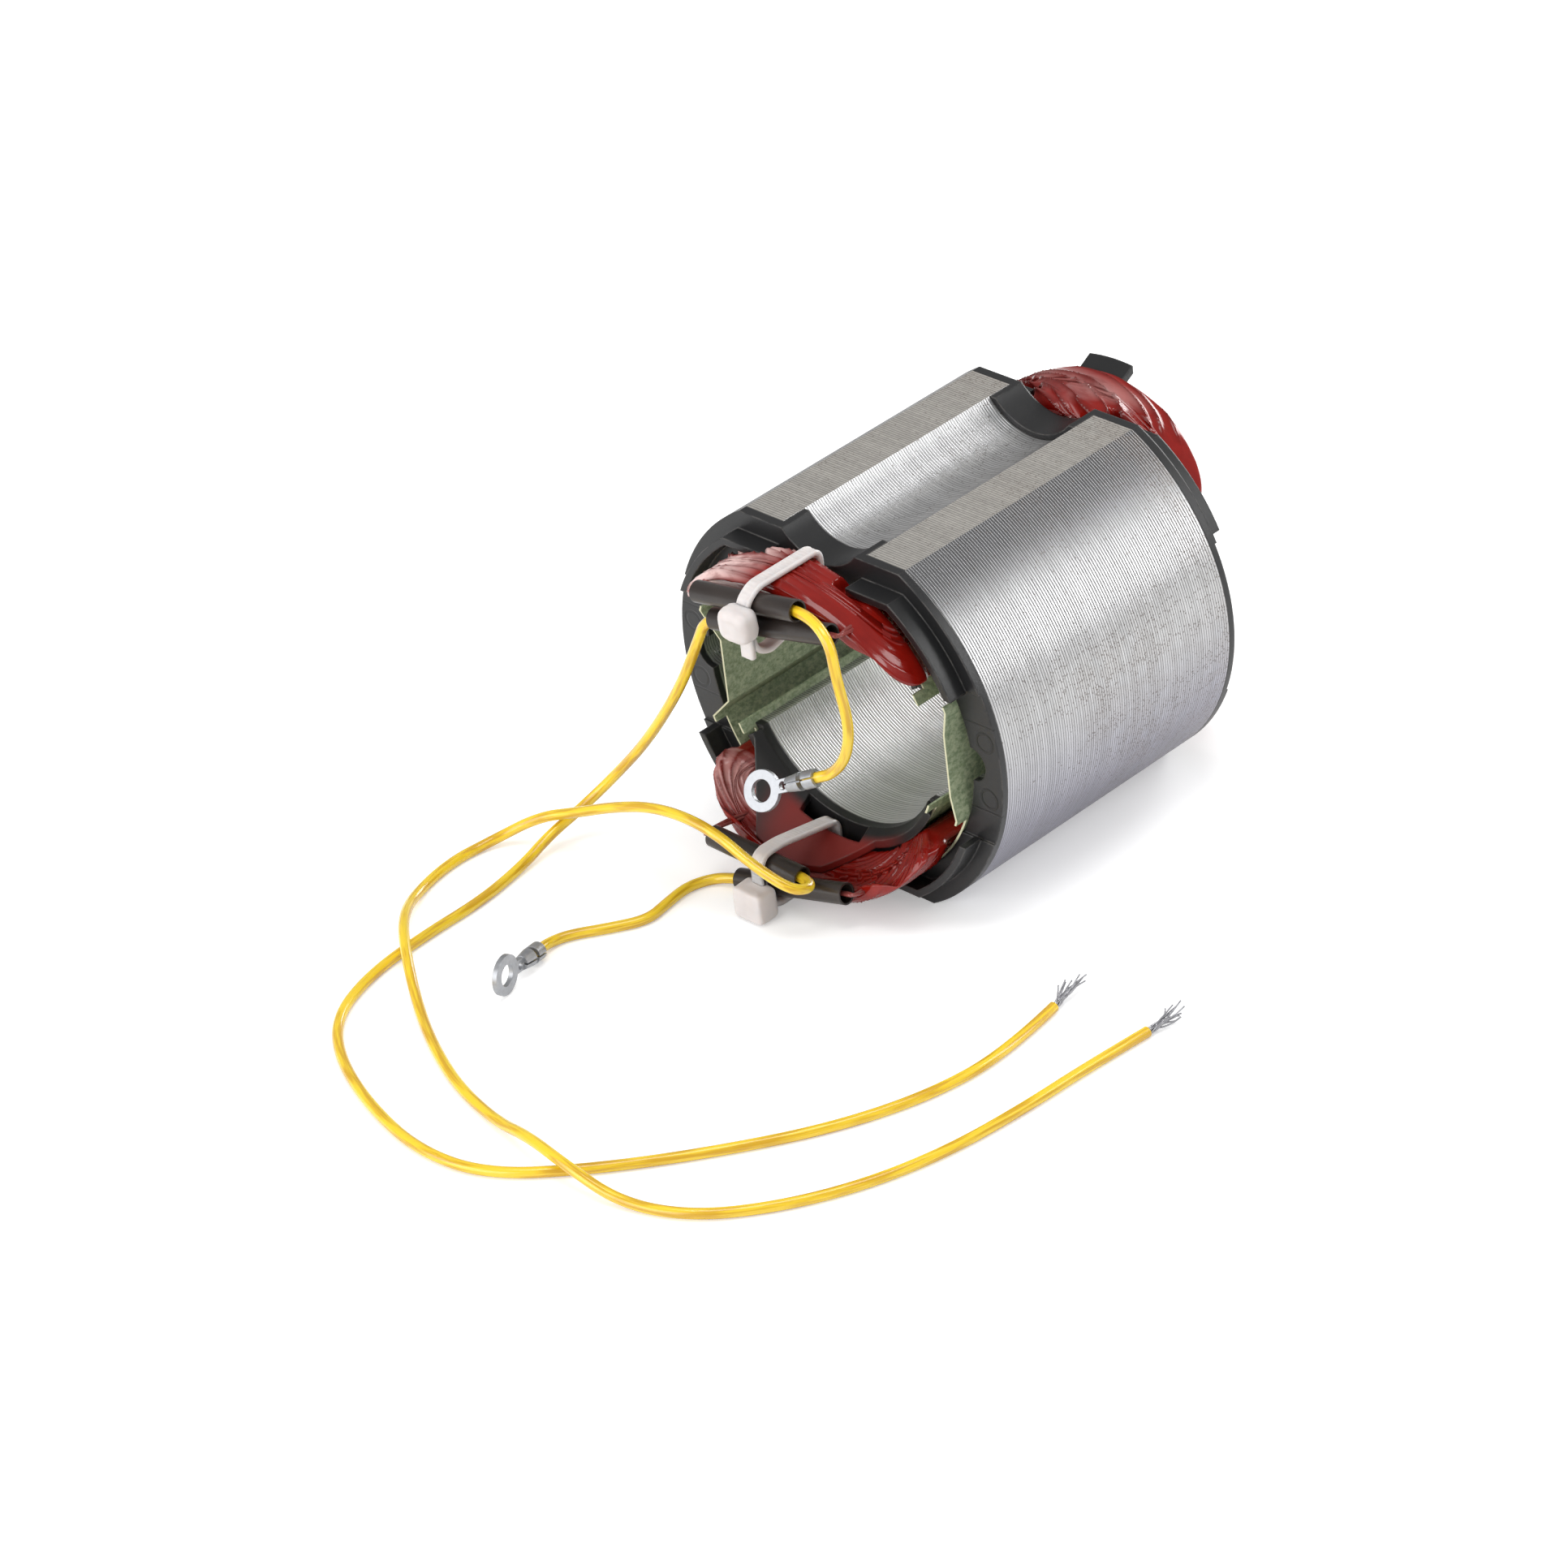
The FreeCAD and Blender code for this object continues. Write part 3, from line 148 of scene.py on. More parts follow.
# Ties: the inner corners of each strap as (y, z), the middle of the lock and the strap's cut tail
TIES = {
    "upper_tie": {
        "corners": [
            (-27.75, 27.9), (-40.2, 27.9), (-42.4, 26.3), (-42.4, 22.4), (-41.6, 18.8), (-39.4, 17.6),
            (-29.2, 20.4), (-27.75, 21.6),
        ],
        "lock": (0.0, -44.2, 23.8), "tail": (-43.4, 17.4, 4.0), "roundness": 0.62,
    },
    "lower_tie": {
        "corners": [
            (-27.75, -27.9), (-27.75, -21.3), (-29.2, -20.9), (-38.8, -19.2), (-42.4, -19.1),
            (-43.4, -20.2), (-43.4, -22.8), (-42.6, -26.6), (-41.2, -27.9),
        ],
        "lock": (-3.0, -45.2, -26.1), "tail": (-44.4, -23.4, 2.4), "roundness": 0.3,
    },
}
STRAP_WIDTH = 2.5
STRAP_THICKNESS = 1.0
STRAP_STEP = 0.16
STRAP_BEND = 1.1
TOOTH_PITCH = 0.62
TOOTH_DEPTHS = (0.13, 0.03)
LOCK_SIZE = (6.2, 4.4, 5.6)

# Round ejector marks on the end plates' faces, as places across and up, and the thin seams above and below them
PIN_MARKS = [(30.5, 4.7), (30.3, -5.3), (-30.5, 4.7), (-30.3, -5.3)]
PIN_RADIUS = 1.6
SEAM_HEIGHT = 7.6
SHEET_THICKNESS = 0.5

FRAYED_WIRES = 13
FRAYED_WIRE_RADIUS = 0.125
CORE_WIRE_RADIUS = 0.165
FLOOR_REACH = 3.0


class Nodes:
    """A material's node tree, with one short call for each kind of node."""

    def __init__(self, name):
        self.material = bpy.data.materials.new(name)
        self.material.use_nodes = True
        self.tree = self.material.node_tree
        self.shader = self.tree.nodes["Principled BSDF"]
        self.output = self.tree.nodes["Material Output"]

    def add(self, kind, inputs=None, **settings):
        node = self.tree.nodes.new(kind)
        for key, item in settings.items():
            setattr(node, key, item)
        for key, item in (inputs or {}).items():
            self.put(node.inputs[key], item)
        return node

    def put(self, socket, item):
        if isinstance(item, bpy.types.NodeSocket):
            self.tree.links.new(item, socket)
        else:
            socket.default_value = item

    def set(self, **inputs):
        for key, item in inputs.items():
            self.put(self.shader.inputs[key.replace("_", " ")], item)

    def place(self):
        return self.add("ShaderNodeTexCoord").outputs["Object"]

    def normal(self):
        return self.add("ShaderNodeNewGeometry").outputs["Normal"]

    def axes(self, vector):
        split = self.add("ShaderNodeSeparateXYZ", {"Vector": vector})
        return split.outputs["X"], split.outputs["Y"], split.outputs["Z"]

    def noise(self, scale, detail=3.0, roughness=0.5, stretch=(1, 1, 1)):
        mapping = self.add("ShaderNodeMapping", {"Vector": self.place(), "Scale": stretch})
        inputs = {"Vector": mapping.outputs["Vector"], "Scale": scale, "Detail": detail, "Roughness": roughness}
        return self.add("ShaderNodeTexNoise", inputs).outputs["Fac"]

    def math(self, operation, first, second=0.0):
        node = self.add("ShaderNodeMath", operation=operation)
        self.put(node.inputs[0], first)
        self.put(node.inputs[1], second)
        return node.outputs[0]

    def times(self, *factors):
        product = factors[0]
        for factor in factors[1:]:
            product = self.math("MULTIPLY", product, factor)
        return product

    def plus(self, first, second):
        return self.math("ADD", first, second)

    def minus(self, first, second):
        return self.math("SUBTRACT", first, second)

    def size(self, item):
        return self.math("ABSOLUTE", item)

    def length(self, first, second):
        """The length of a line that goes that far in two directions."""
        return self.math("SQRT", self.plus(self.times(first, first), self.times(second, second)))

    def spread(self, item, low, high, start=0.0, finish=1.0):
        """The item's range from low to high, spread smoothly over start to finish."""
        node = self.add("ShaderNodeMapRange", interpolation_type="SMOOTHSTEP")
        for index, number in enumerate((item, low, high, start, finish)):
            self.put(node.inputs[index], number)
        return node.outputs[0]

    def mix(self, share, first, second):
        node = self.add("ShaderNodeMix", data_type="RGBA")
        self.put(node.inputs["Factor"], share)
        self.put(node.inputs[6], first)
        self.put(node.inputs[7], second)
        return node.outputs[2]

    def bump(self, height, strength, distance, normal=None):
        inputs = {"Height": height, "Strength": strength, "Distance": distance}
        if normal is not None:
            inputs["Normal"] = normal
        return self.add("ShaderNodeBump", inputs).outputs["Normal"]

    def rounding(self, radius):
        return self.add("ShaderNodeBevel", {"Radius": radius}, samples=6).outputs["Normal"]


def colour(red, green, blue):
    """A colour given as the 0 to 255 that the eye sees, in the linear values that the shader needs."""
    def linear(part):
        part = part / 255
        return part / 12.92 if part <= 0.04045 else ((part + 0.055) / 1.055) ** 2.4
    return (linear(red), linear(green), linear(blue), 1.0)


def steel_material():
    """Edges of punched sheets: a rib for each, ground and painted lighter against its shade in the bore, dull
    and speckled on the flats, with painted shade and a painted reflection on the round sides.
    """
    n = Nodes("sheet_edges")
    x, y, z = n.axes(n.place())
    facing_up = n.size(n.axes(n.normal())[2])
    radius = n.length(x, z)
    bore = n.spread(radius, 20.9 * MM, 20.6 * MM)
    flat = n.times(n.spread(facing_up, 0.93, 0.98), n.spread(n.size(z), 24 * MM, 27 * MM))
    round_side = n.times(n.spread(radius, 32.6 * MM, 33.0 * MM), n.minus(1.0, flat))
    sheets = n.times(y, 1 / (SHEET_THICKNESS * MM))
    gap = n.spread(n.size(n.minus(n.math("FRACT", sheets), 0.5)), 0.26, 0.5)
    number = n.math("FLOOR", sheets)
    each = n.add("ShaderNodeTexWhiteNoise", {"W": number}, noise_dimensions="1D").outputs["Value"]
    mottle = n.noise(220.0, 6.0, 0.65)
    speckle = n.noise(1500.0, 5.0, 0.7)
    bare = n.mix(mottle, colour(184, 184, 184), colour(222, 222, 223))
    dull = n.mix(speckle, colour(134, 130, 124), colour(196, 192, 185))
    # The bore is lighter: partly its ground finish, partly painted light that offsets the shade inside it
    ground_with_painted_light = n.mix(mottle, colour(232, 232, 230), colour(250, 250, 249))
    base = n.mix(bore, n.mix(flat, bare, dull), ground_with_painted_light)
    # Painted shade darkens the round sides towards the flats, and a painted violet reflection tints them low
    # down
    painted_shade = n.times(n.spread(z, 17 * MM, 28.5 * MM), round_side)
    base = n.mix(n.times(painted_shade, 0.85), base, colour(66, 66, 68))
    low = n.times(n.spread(z, 8 * MM, -18 * MM), round_side)
    base = n.mix(n.times(low, 0.7), base, colour(146, 144, 166))
    base = n.mix(n.times(each, 0.2), base, colour(96, 94, 92))
    # Small rust-brown specks, close together towards the far end
    slant = n.times(n.plus(y, n.times(z, -0.4)), 9.0)
    region = n.spread(n.plus(n.noise(45.0, 3.0), slant), 0.34, 0.80)
    region = n.times(region, n.spread(n.noise(380.0, 2.0), 0.28, 0.55))
    cells = n.add("ShaderNodeTexVoronoi", {"Vector": n.place(), "Scale": 2300.0})
    chance = n.add("ShaderNodeSeparateColor", {"Color": cells.outputs["Color"]}).outputs["Red"]
    wanted = n.plus(n.times(region, 0.95), 0.06)
    stain = n.times(n.math("LESS_THAN", chance, wanted), n.spread(cells.outputs["Distance"], 0.46, 0.2))
    stain = n.times(stain, n.minus(1.0, bore))
    base = n.mix(n.times(region, 0.22), base, colour(150, 138, 128))
    base = n.mix(n.times(stain, 0.62), base, colour(92, 80, 72))
    base = n.mix(n.times(gap, 0.7), base, colour(62, 62, 64))
    rough = n.plus(n.plus(n.times(mottle, 0.18), 0.26), n.times(flat, 0.18))
    metal = n.minus(n.minus(0.86, n.times(flat, 0.56)), n.times(bore, 0.16))
    height = n.plus(n.plus(n.times(gap, -1.0), n.times(each, 0.25)), n.times(mottle, 0.12))
    n.set(Base_Color=base, Metallic=metal, Roughness=rough, Normal=n.bump(height, 0.6, 0.06 * MM))
    return n.material


def plate_marks(n, x, z):
    """The rings of the ejector pins and the thin seams in the end plates' faces."""
    marks = 0.0
    for across, up in PIN_MARKS:
        away = n.length(n.minus(x, across * MM), n.minus(z, up * MM))
        ring = n.spread(n.size(n.minus(away, PIN_RADIUS * MM)), 0.34 * MM, 0.14 * MM)
        marks = n.math("MAXIMUM", marks, ring)
    seam = n.size(n.minus(n.size(z), SEAM_HEIGHT * MM))
    seam = n.times(n.spread(seam, 0.2 * MM, 0.1 * MM), n.spread(n.size(x), 26 * MM, 27 * MM))
    return n.math("MAXIMUM", marks, seam)


def plate_material():
    """Black moulded plastic, spark-eroded where it flares and with a film of red varnish by the coils."""
    n = Nodes("black_moulding")
    x, y, z = n.axes(n.place())
    grain = n.noise(2600.0, 4.0, 0.7)
    reach = n.size(y)
    inner = n.spread(n.length(x, z), 27.2 * MM, 26.2 * MM)
    flare = n.times(n.spread(reach, 27.5 * MM, 29.5 * MM), inner)
    base = n.mix(n.noise(90.0, 3.0), colour(22, 22, 23), colour(34, 34, 35))
    base = n.mix(n.times(flare, 0.5), base, colour(58, 57, 57))
    # The varnish lies on the middle of both saddles, thinner on the far one
    patch = n.spread(n.noise(150.0, 2.0), 0.24, 0.42)
    middle = n.spread(n.size(x), 15 * MM, 9 * MM)
    film = n.times(flare, patch, middle, n.spread(y, 0.0, -1 * MM, 0.22, 1.0))
    base = n.mix(n.times(film, 0.9), base, colour(138, 30, 22))
    # Edges are lighter where the rounded normal leaves the straight one: partly wear, partly a painted edge
    # highlight
    rounded = n.rounding(0.4 * MM)
    normals = {0: rounded, 1: n.normal()}
    facing = n.add("ShaderNodeVectorMath", normals, operation="DOT_PRODUCT").outputs["Value"]
    wear_and_painted_highlight = n.times(n.spread(facing, 0.985, 0.86), n.spread(n.noise(260.0, 4.0, 0.7), 0.38, 0.62))
    base = n.mix(n.times(wear_and_painted_highlight, 0.6), base, colour(112, 108, 104))
    # The pin rings and seams are painted near black as painted shade in their shallow grooves; the same mask
    # also sinks them in the bump
    marks = n.times(plate_marks(n, x, z), n.spread(reach, 25.7 * MM, 26.0 * MM))
    base = n.mix(n.times(marks, 0.85), base, colour(8, 8, 8))
    rough = n.plus(n.plus(n.times(grain, 0.16), 0.28), n.times(flare, 0.14))
    height = n.minus(grain, n.times(marks, 5.0))
    n.set(Base_Color=base, Roughness=rough, Normal=n.bump(height, 0.35, 0.03 * MM, rounded))
    return n.material


def varnish_material():
    """Deep red varnish over wire: glossy, with painted shade in the furrows and a pale pink painted highlight
    over the strands' crests.
    """
    n = Nodes("red_varnish")
    tone = n.add("ShaderNodeVertexColor", layer_name="tone").outputs["Color"]
    split = n.add("ShaderNodeSeparateColor", {"Color": tone})
    furrow, painted_highlight = split.outputs["Red"], split.outputs["Green"]
    streak = n.noise(420.0, 4.0, 0.6, stretch=(0.35, 1.0, 1.0))
    cloud = n.noise(160.0, 3.0)
    base = n.mix(streak, colour(108, 12, 7), colour(152, 27, 17))
    base = n.mix(n.spread(cloud, 0.5, 0.75), base, colour(126, 15, 9))
    # Painted shade: the furrows between the strands are darkened
    base = n.mix(n.times(furrow, 0.8), base, colour(60, 10, 8))
    # A pale pink painted highlight on the strands' crests, where the painted-highlight mask is set
    pale_highlight = n.times(painted_highlight, n.spread(streak, 0.30, 0.55, 0.35, 1.0))
    base = n.mix(n.times(pale_highlight, 0.92), base, colour(238, 204, 199))
    rough = n.plus(n.times(painted_highlight, 0.22), 0.17)
    n.set(Base_Color=base, Roughness=rough, Specular_IOR_Level=0.32, Coat_Weight=0.3, Coat_Roughness=0.05)
    lumps = n.noise(700.0, 2.0, 0.5, stretch=(0.5, 1.0, 1.0))
    n.set(Normal=n.bump(lumps, 0.25, 0.1 * MM))
    return n.material


def paper_material():
    """Green insulating paper with short fibres and a pale cut edge."""
    n = Nodes("slot_paper")
    fibres = n.noise(1500.0, 6.0, 0.7, stretch=(1.0, 0.75, 1.0))
    cloud = n.noise(120.0, 3.0)
    base = n.mix(n.spread(fibres, 0.34, 0.66), colour(124, 142, 110), colour(188, 198, 164))
    base = n.mix(n.times(cloud, 0.3), base, colour(132, 148, 114))
    edge = n.spread(n.size(n.axes(n.normal())[1]), 0.7, 0.95)
    base = n.mix(n.times(edge, 0.8), base, colour(214, 210, 178))
    n.set(Base_Color=base, Roughness=0.62, Normal=n.bump(fibres, 0.25, 0.05 * MM))
    return n.material


def sleeve_material():
    n = Nodes("sleeve_tubing")
    cloud = n.noise(300.0, 3.0, stretch=(0.3, 1.0, 1.0))
    base = n.mix(cloud, colour(24, 20, 19), colour(62, 54, 50))
    dents = n.bump(n.noise(700.0, 3.0), 0.3, 0.08 * MM, n.rounding(0.1 * MM))
    n.set(Base_Color=base, Roughness=0.29, Normal=dents)
    return n.material


def nylon_material():
    n = Nodes("tie_nylon")
    cloud = n.noise(350.0, 3.0)
    base = n.mix(cloud, colour(204, 197, 195), colour(226, 220, 218))
    n.set(Base_Color=base, Roughness=0.38, Subsurface_Weight=0.55, Subsurface_Scale=1.6 * MM)
    n.set(Subsurface_Radius=(1.0, 0.8, 0.7), Normal=n.bump(cloud, 0.15, 0.1 * MM, n.rounding(0.3 * MM)))
    return n.material


def lead_material():
    """Glossy yellow insulation, slightly clear, with the strands' golden streaks along it."""
    n = Nodes("yellow_insulation")
    along, around, _ = n.axes(n.add("ShaderNodeTexCoord").outputs["UV"])
    streaks = n.add("ShaderNodeAttribute", attribute_type="OBJECT", attribute_name="streaks").outputs["Fac"]
    spot = {"X": n.times(along, streaks), "Y": n.times(around, 7.0)}
    spot = n.add("ShaderNodeCombineXYZ", spot).outputs["Vector"]
    streak = n.add("ShaderNodeTexNoise", {"Vector": spot, "Scale": 1.0, "Detail": 2.0}).outputs["Fac"]
    wander = n.noise(130.0, 2.0)
    base = n.mix(n.spread(streak, 0.42, 0.62), colour(242, 206, 42), colour(206, 156, 24))
    base = n.mix(n.times(wander, 0.25), base, colour(250, 220, 70))
    n.set(Base_Color=base, Roughness=0.24, Coat_Weight=0.5, Coat_Roughness=0.12)
    n.set(Subsurface_Weight=0.12, Subsurface_Scale=0.6 * MM, Subsurface_Radius=(1.0, 0.7, 0.2))
    n.set(Normal=n.bump(n.noise(420.0, 2.0), 0.2, 0.06 * MM))
    return n.material


def tin_material(name, dark, light):
    n = Nodes(name)
    scratch = n.noise(1200.0, 4.0, 0.6)
    n.set(Base_Color=n.mix(scratch, dark, light), Metallic=0.85)
    rough = n.plus(n.times(scratch, 0.2), 0.34)
    n.set(Roughness=rough, Normal=n.bump(scratch, 0.15, 0.03 * MM, n.rounding(0.12 * MM)))
    return n.material


def brass_material():
    n = Nodes("joint_brass")
    base = n.mix(n.noise(500.0), colour(176, 150, 96), colour(206, 184, 130))
    n.set(Base_Color=base, Metallic=1.0, Roughness=0.35)
    return n.material


MATERIALS = {
    "sheet_steel": steel_material(),
    "plate_plastic": plate_material(),
    "coil_varnish": varnish_material(),
    "slot_paper": paper_material(),
    "sleeve_plastic": sleeve_material(),
    "joint_metal": brass_material(),
    "tie_nylon": nylon_material(),
    "lead_insulation": lead_material(),
    "tin_plate": tin_material("bright_tin", colour(150, 152, 156), colour(196, 198, 202)),
    "tinned_strand": tin_material("strand_tin", colour(130, 130, 134), colour(206, 206, 210)),
}


def finish_nodes():
    """Gives each CAD node its slot's material."""
    for part in frame["record"]["subparts"]:
        mesh = frame["nodes"][part["node"]].data
        mesh.materials.clear()
        mesh.materials.append(MATERIALS[part["material_slot"]])


def add_piece(name, data, slot, nodes):
    """Puts a new piece into the scene, riding on the body, with its material slot and what it replaces."""
    piece = bpy.data.objects.new(name, data)
    scene.collection.objects.link(piece)
    data.materials.append(MATERIALS[slot])
    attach(piece, "root")
    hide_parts(*nodes)
    return piece


def lead_route(letter):
    """A lead's route in millimetres, from its joint inside the sleeve to its far end."""
    mouth, end = SLEEVES[letter]
    along = (end - mouth).normalized()
    start = [mouth + along * LEAD_INSERTION, mouth - along * LEAD_EXIT]
    route = start + [Vector(place) for place in ROUTES[letter]]
    if letter in "ad":
        route.append(route[-1] + (route[-1] - route[-2]).normalized() * GRIP_LENGTH)
    return route


def smooth_curve(name, points, radius):
    """A smooth round cord through those control points, in millimetres."""
    curve = bpy.data.curves.new(name, "CURVE")
    curve.dimensions = "3D"
    curve.resolution_u = 16
    curve.bevel_depth = radius * MM
    curve.bevel_resolution = 6
    curve.use_fill_caps = True
    spline = curve.splines.new("NURBS")
    spline.points.add(len(points) - 1)
    for control, point in zip(spline.points, points):
        control.co = (*(Vector(point) * MM), 1.0)
    spline.order_u = 3
    spline.use_endpoint_u = True
    spline.use_smooth = True
    return curve


def add_leads():
    """The four leads. Two end in ring terminals and two in bare strands."""
    far_pieces = {"a": "ring_terminal_a", "d": "ring_terminal_d", "b": "strand_end_b", "c": "strand_end_c"}
    for letter, end in far_pieces.items():
        points = lead_route(letter)
        curve = smooth_curve(f"lead_{letter}_wire", points, LEAD_DIAMETER / 2)
        piece = add_piece(f"lead_{letter}_wire", curve, "lead_insulation", [f"lead_{letter}"])
        piece["streaks"] = LEAD_LENGTHS[letter] / STREAK_LENGTH
        if letter in "ad":
            bare = add_piece(f"lead_{letter}_core", bared_core_mesh(letter), "joint_metal", [f"lead_{letter}"])
            ends = [bare, frame["nodes"][end]]
        else:
            ends = [add_piece(f"{end}_wires", strand_end_mesh(letter), "tinned_strand", [end])]


def clamped(number):
    return min(1.0, max(0.0, number))


def eased(number):
    """A smooth step from 0 to 1 as the number goes from 0 to 1."""
    number = clamped(number)
    return number * number * (3 - 2 * number)


def bed(depth, part):
    """Radius at which a head's turns start, at that distance from the stack's end."""
    radius = max(SLOT_INSIDE, SADDLE_RADIUS + (depth - SADDLE_DEPTH) * SADDLE_SLOPES[part // 2])
    if part == 0:
        lip = LIP_RADIUS + (depth - LIP_DEPTH) * LIP_SLOPE
        radius += (lip - radius) * eased((depth - LIP_DEPTH) / LIP_EASE)
    return radius


def winding_place(run, share, level):
    """A place in the upper winding and the winding's thickness there.

    The run counts near head, right slot, far head and left slot as 0 to 4.
    The share goes from the innermost to the outermost turn, and the level from the inside to the outside.
    """
    part = int(run) % 4
    step = run - int(run)
    inside = SLOT_INSIDE
    outside = SLOT_RADIUS
    if part in (0, 2):
        lean = (2 * step - 1) * (1 if part == 0 else -1)
        grow = max(math.cos(lean * math.pi / 2), 0.0) ** 0.6
        depth = HEAD_START + (HEAD_REACH - HEAD_START) * share * grow
        turn = math.sin(lean * math.pi / 2)
        inside = bed(depth, part)
        outside += (HEAD_RADIUS - SLOT_RADIUS) * min(1.0, (depth - HEAD_START) / 1.2)
        top = max(0.0, depth - (HEAD_REACH - 2.6)) / 2.6
        outside -= 0.7 * top ** 3 if part == 0 else 0.0
    else:
        turn = 1 if part == 1 else -1
    radius = inside + (outside - inside) * level
    low = math.asin(SLOT_ACROSS / radius)
    high = math.acos(SLOT_FLOOR / radius)
    angle = (low + (high - low) * share) * turn
    x = radius * math.sin(angle)
    z = radius * math.cos(angle)
    if part in (0, 2):
        under_wall = eased((abs(x) - WALL_START) / 1.4) * eased((WALL_DEPTH - depth) / 1.05)
        fit = 1 + (min(1.0, WALL_HEIGHT / z) - 1) * under_wall
        x *= fit
        z *= fit
        y = (STACK_END + depth) * (-1 if part == 0 else 1)
    else:
        y = (STACK_END + HEAD_START) * (2 * step - 1) * turn
    return Vector((x, y, z)), outside - inside


def section_ring(count):
    """Places round a winding's section, evenly spaced, as shares and levels of a rounded rectangle."""
    def bulge(part):
        return 0.5 + 0.5 * math.copysign(abs(part) ** SECTION_POWER, part)
    turns = [math.tau * index / SECTION_STEPS for index in range(SECTION_STEPS)]
    fine = [(bulge(math.cos(turn)), bulge(math.sin(turn))) for turn in turns]
    spots = [winding_place(0.5, *item)[0] for item in fine]
    lengths = [0.0]
    for index, spot in enumerate(spots):
        lengths.append(lengths[-1] + (spots[(index + 1) % SECTION_STEPS] - spot).length)
    ring = []
    index = 0
    for number in range(count):
        wanted = lengths[-1] * number / count
        while lengths[index + 1] < wanted:
            index += 1
        ring.append(fine[index])
    return ring


def wander(first, second, seed):
    """Smooth noise from -1 to 1 over two numbers."""
    return noise.noise(Vector((first, second, seed)))


def strand_lay(lay, part, step):
    """How far the strands have turned round the bundle there, as a share of the way round."""
    near, far = lay
    if part == 0:
        return near * (step - 0.5)
    if part == 2:
        return far * (step - 0.5)
    start = near if part == 1 else far
    return start * 0.5 - (near + far) * 0.5 * step


def varnish_cover(run, around, style):
    """How far varnish drowns the strands there and how strong its painted highlight is, each from 0 to 1."""
    seed = style["seed"]
    part = int(run) % 4
    step = run - int(run)
    pool = 0.5 + 0.9 * wander(run * 3.0, around * 5.0, seed + 17)
    painted_highlight = 0.0
    if part == 0 and style["flip"]:
        painted_highlight = clamped((step - 0.74) / 0.12) * 0.35
    elif part == 0:
        smooth = clamped((step - 0.44) / 0.16)
        pool = max(pool * (1 - smooth) - 0.35, smooth * 0.93)
        painted_highlight = 1 - clamped((step - 0.36) / 0.10)
    elif part == 2:
        painted_highlight = 0.45 * clamped(step * 1.6 - 0.9 + 1.2 * wander(run * 5.0, around * 3.0, seed + 31))
        pool = pool - 0.55 + 1.1 * clamped((0.34 - step) / 0.16)
    return min(0.95, max(0.0, pool)), painted_highlight


def strand_relief(run, around, style):
    """How far the surface lies under its outline, in millimetres, with that place's furrow and painted
    highlight.
    """
    seed = style["seed"]
    half = 0 if (run + 0.5) % 4 < 2 else 1
    strands = style["strands"][half]
    turned = around + strand_lay(style["lay"], int(run) % 4, run - int(run))
    phase = turned * strands
    phase += 0.55 * wander(turned * 7.0, run * 3.2, seed)
    phase += (0.2, 0.1)[half] * wander(around * 16.0, run * 9.0, seed + 5)
    strand = math.floor(phase)
    side = 2 * (phase - strand) - 1
    profile = math.sqrt(max(0.0, 1 - side * side))
    chance = noise.cell(Vector((strand % strands + 0.5, seed, 0.5)))
    drop = 0.34 * abs(wander(chance * 30.0, run * 2.6, seed + 9)) + 0.22 * chance
    pool, painted_highlight = varnish_cover(run, around, style)
    furrow = (1 - profile) * (1 - pool)
    width = BUNDLE_GIRTH / strands
    relief = style["depth"][half] * width * furrow + drop * (1 - 0.92 * pool)
    painted_highlight *= clamped(1.7 * profile - 0.35 + wander(run * 6.0, phase * 0.9, seed + 47))
    return relief, furrow, painted_highlight


def spoke(across, up, angle, radius):
    """The way from a line to a place beside it, at that angle and distance."""
    return (across * math.cos(angle) + up * math.sin(angle)) * radius


def ring_faces(rows, columns, closed):
    """Four-sided faces over a grid of vertices whose columns close into rings."""
    faces = []
    for row in range(rows if closed else rows - 1):
        after = (row + 1) % rows
        for column in range(columns):
            beside = (column + 1) % columns
            faces.append((
                row * columns + column, row * columns + beside,
                after * columns + beside, after * columns + column,
            ))
    return faces


def strand_mesh(points, radius, sides=10):
    """Vertices and faces of a round strand through those places, capped at both ends."""
    route = [Vector(point) for point in points]
    fine = []
    for index in range(len(route) - 1):
        before = route[max(index - 1, 0)]
        after = route[min(index + 2, len(route) - 1)]
        start, finish = route[index], route[index + 1]
        for step in range(6):
            t = step / 6
            spot = 0.5 * (
                2 * start + (finish - before) * t + (2 * before - 5 * start + 4 * finish - after) * t * t
                + (3 * start - before - 3 * finish + after) * t ** 3
            )
            fine.append(spot)
    fine.append(route[-1])
    across = None
    vertices = []
    for index, spot in enumerate(fine):
        along = (fine[min(index + 1, len(fine) - 1)] - fine[max(index - 1, 0)]).normalized()
        if across is None:
            across = along.orthogonal().normalized()
        across = (across - along * across.dot(along)).normalized()
        up = along.cross(across)
        for side in range(sides):
            vertices.append(spot + spoke(across, up, math.tau * side / sides, radius))
    faces = ring_faces(len(fine), sides, False)
    faces.append(tuple(reversed(range(sides))))
    faces.append(tuple(range(len(vertices) - sides, len(vertices))))
    return vertices, faces


def tail_strands(letter):
    """Two strands twisted together, from a sleeve's inside to the bundle."""
    mouth, end = SLEEVES[letter]
    outward = (end - mouth).normalized()
    joint = mouth + outward * TAIL_JOINT
    home = Vector((end.x, 0, end.z)).normalized() * TAIL_HOME_RADIUS
    home.y = TAIL_HOME_Y
    route = [joint, joint.lerp(end, 0.5), end - outward * 0.5, end + outward * 1.5]
    route += [(end + outward * 2.1).lerp(home, 0.5), home]
    strands = []
    for half in (0, math.pi):
        places = []
        for index, place in enumerate(route):
            along = (route[min(index + 1, len(route) - 1)] - route[max(index - 1, 0)]).normalized()
            across = along.orthogonal().normalized()
            places.append(place + spoke(across, along.cross(across), half + index * 1.1, TAIL_TWIST))
        strands.append(places)
    return strands


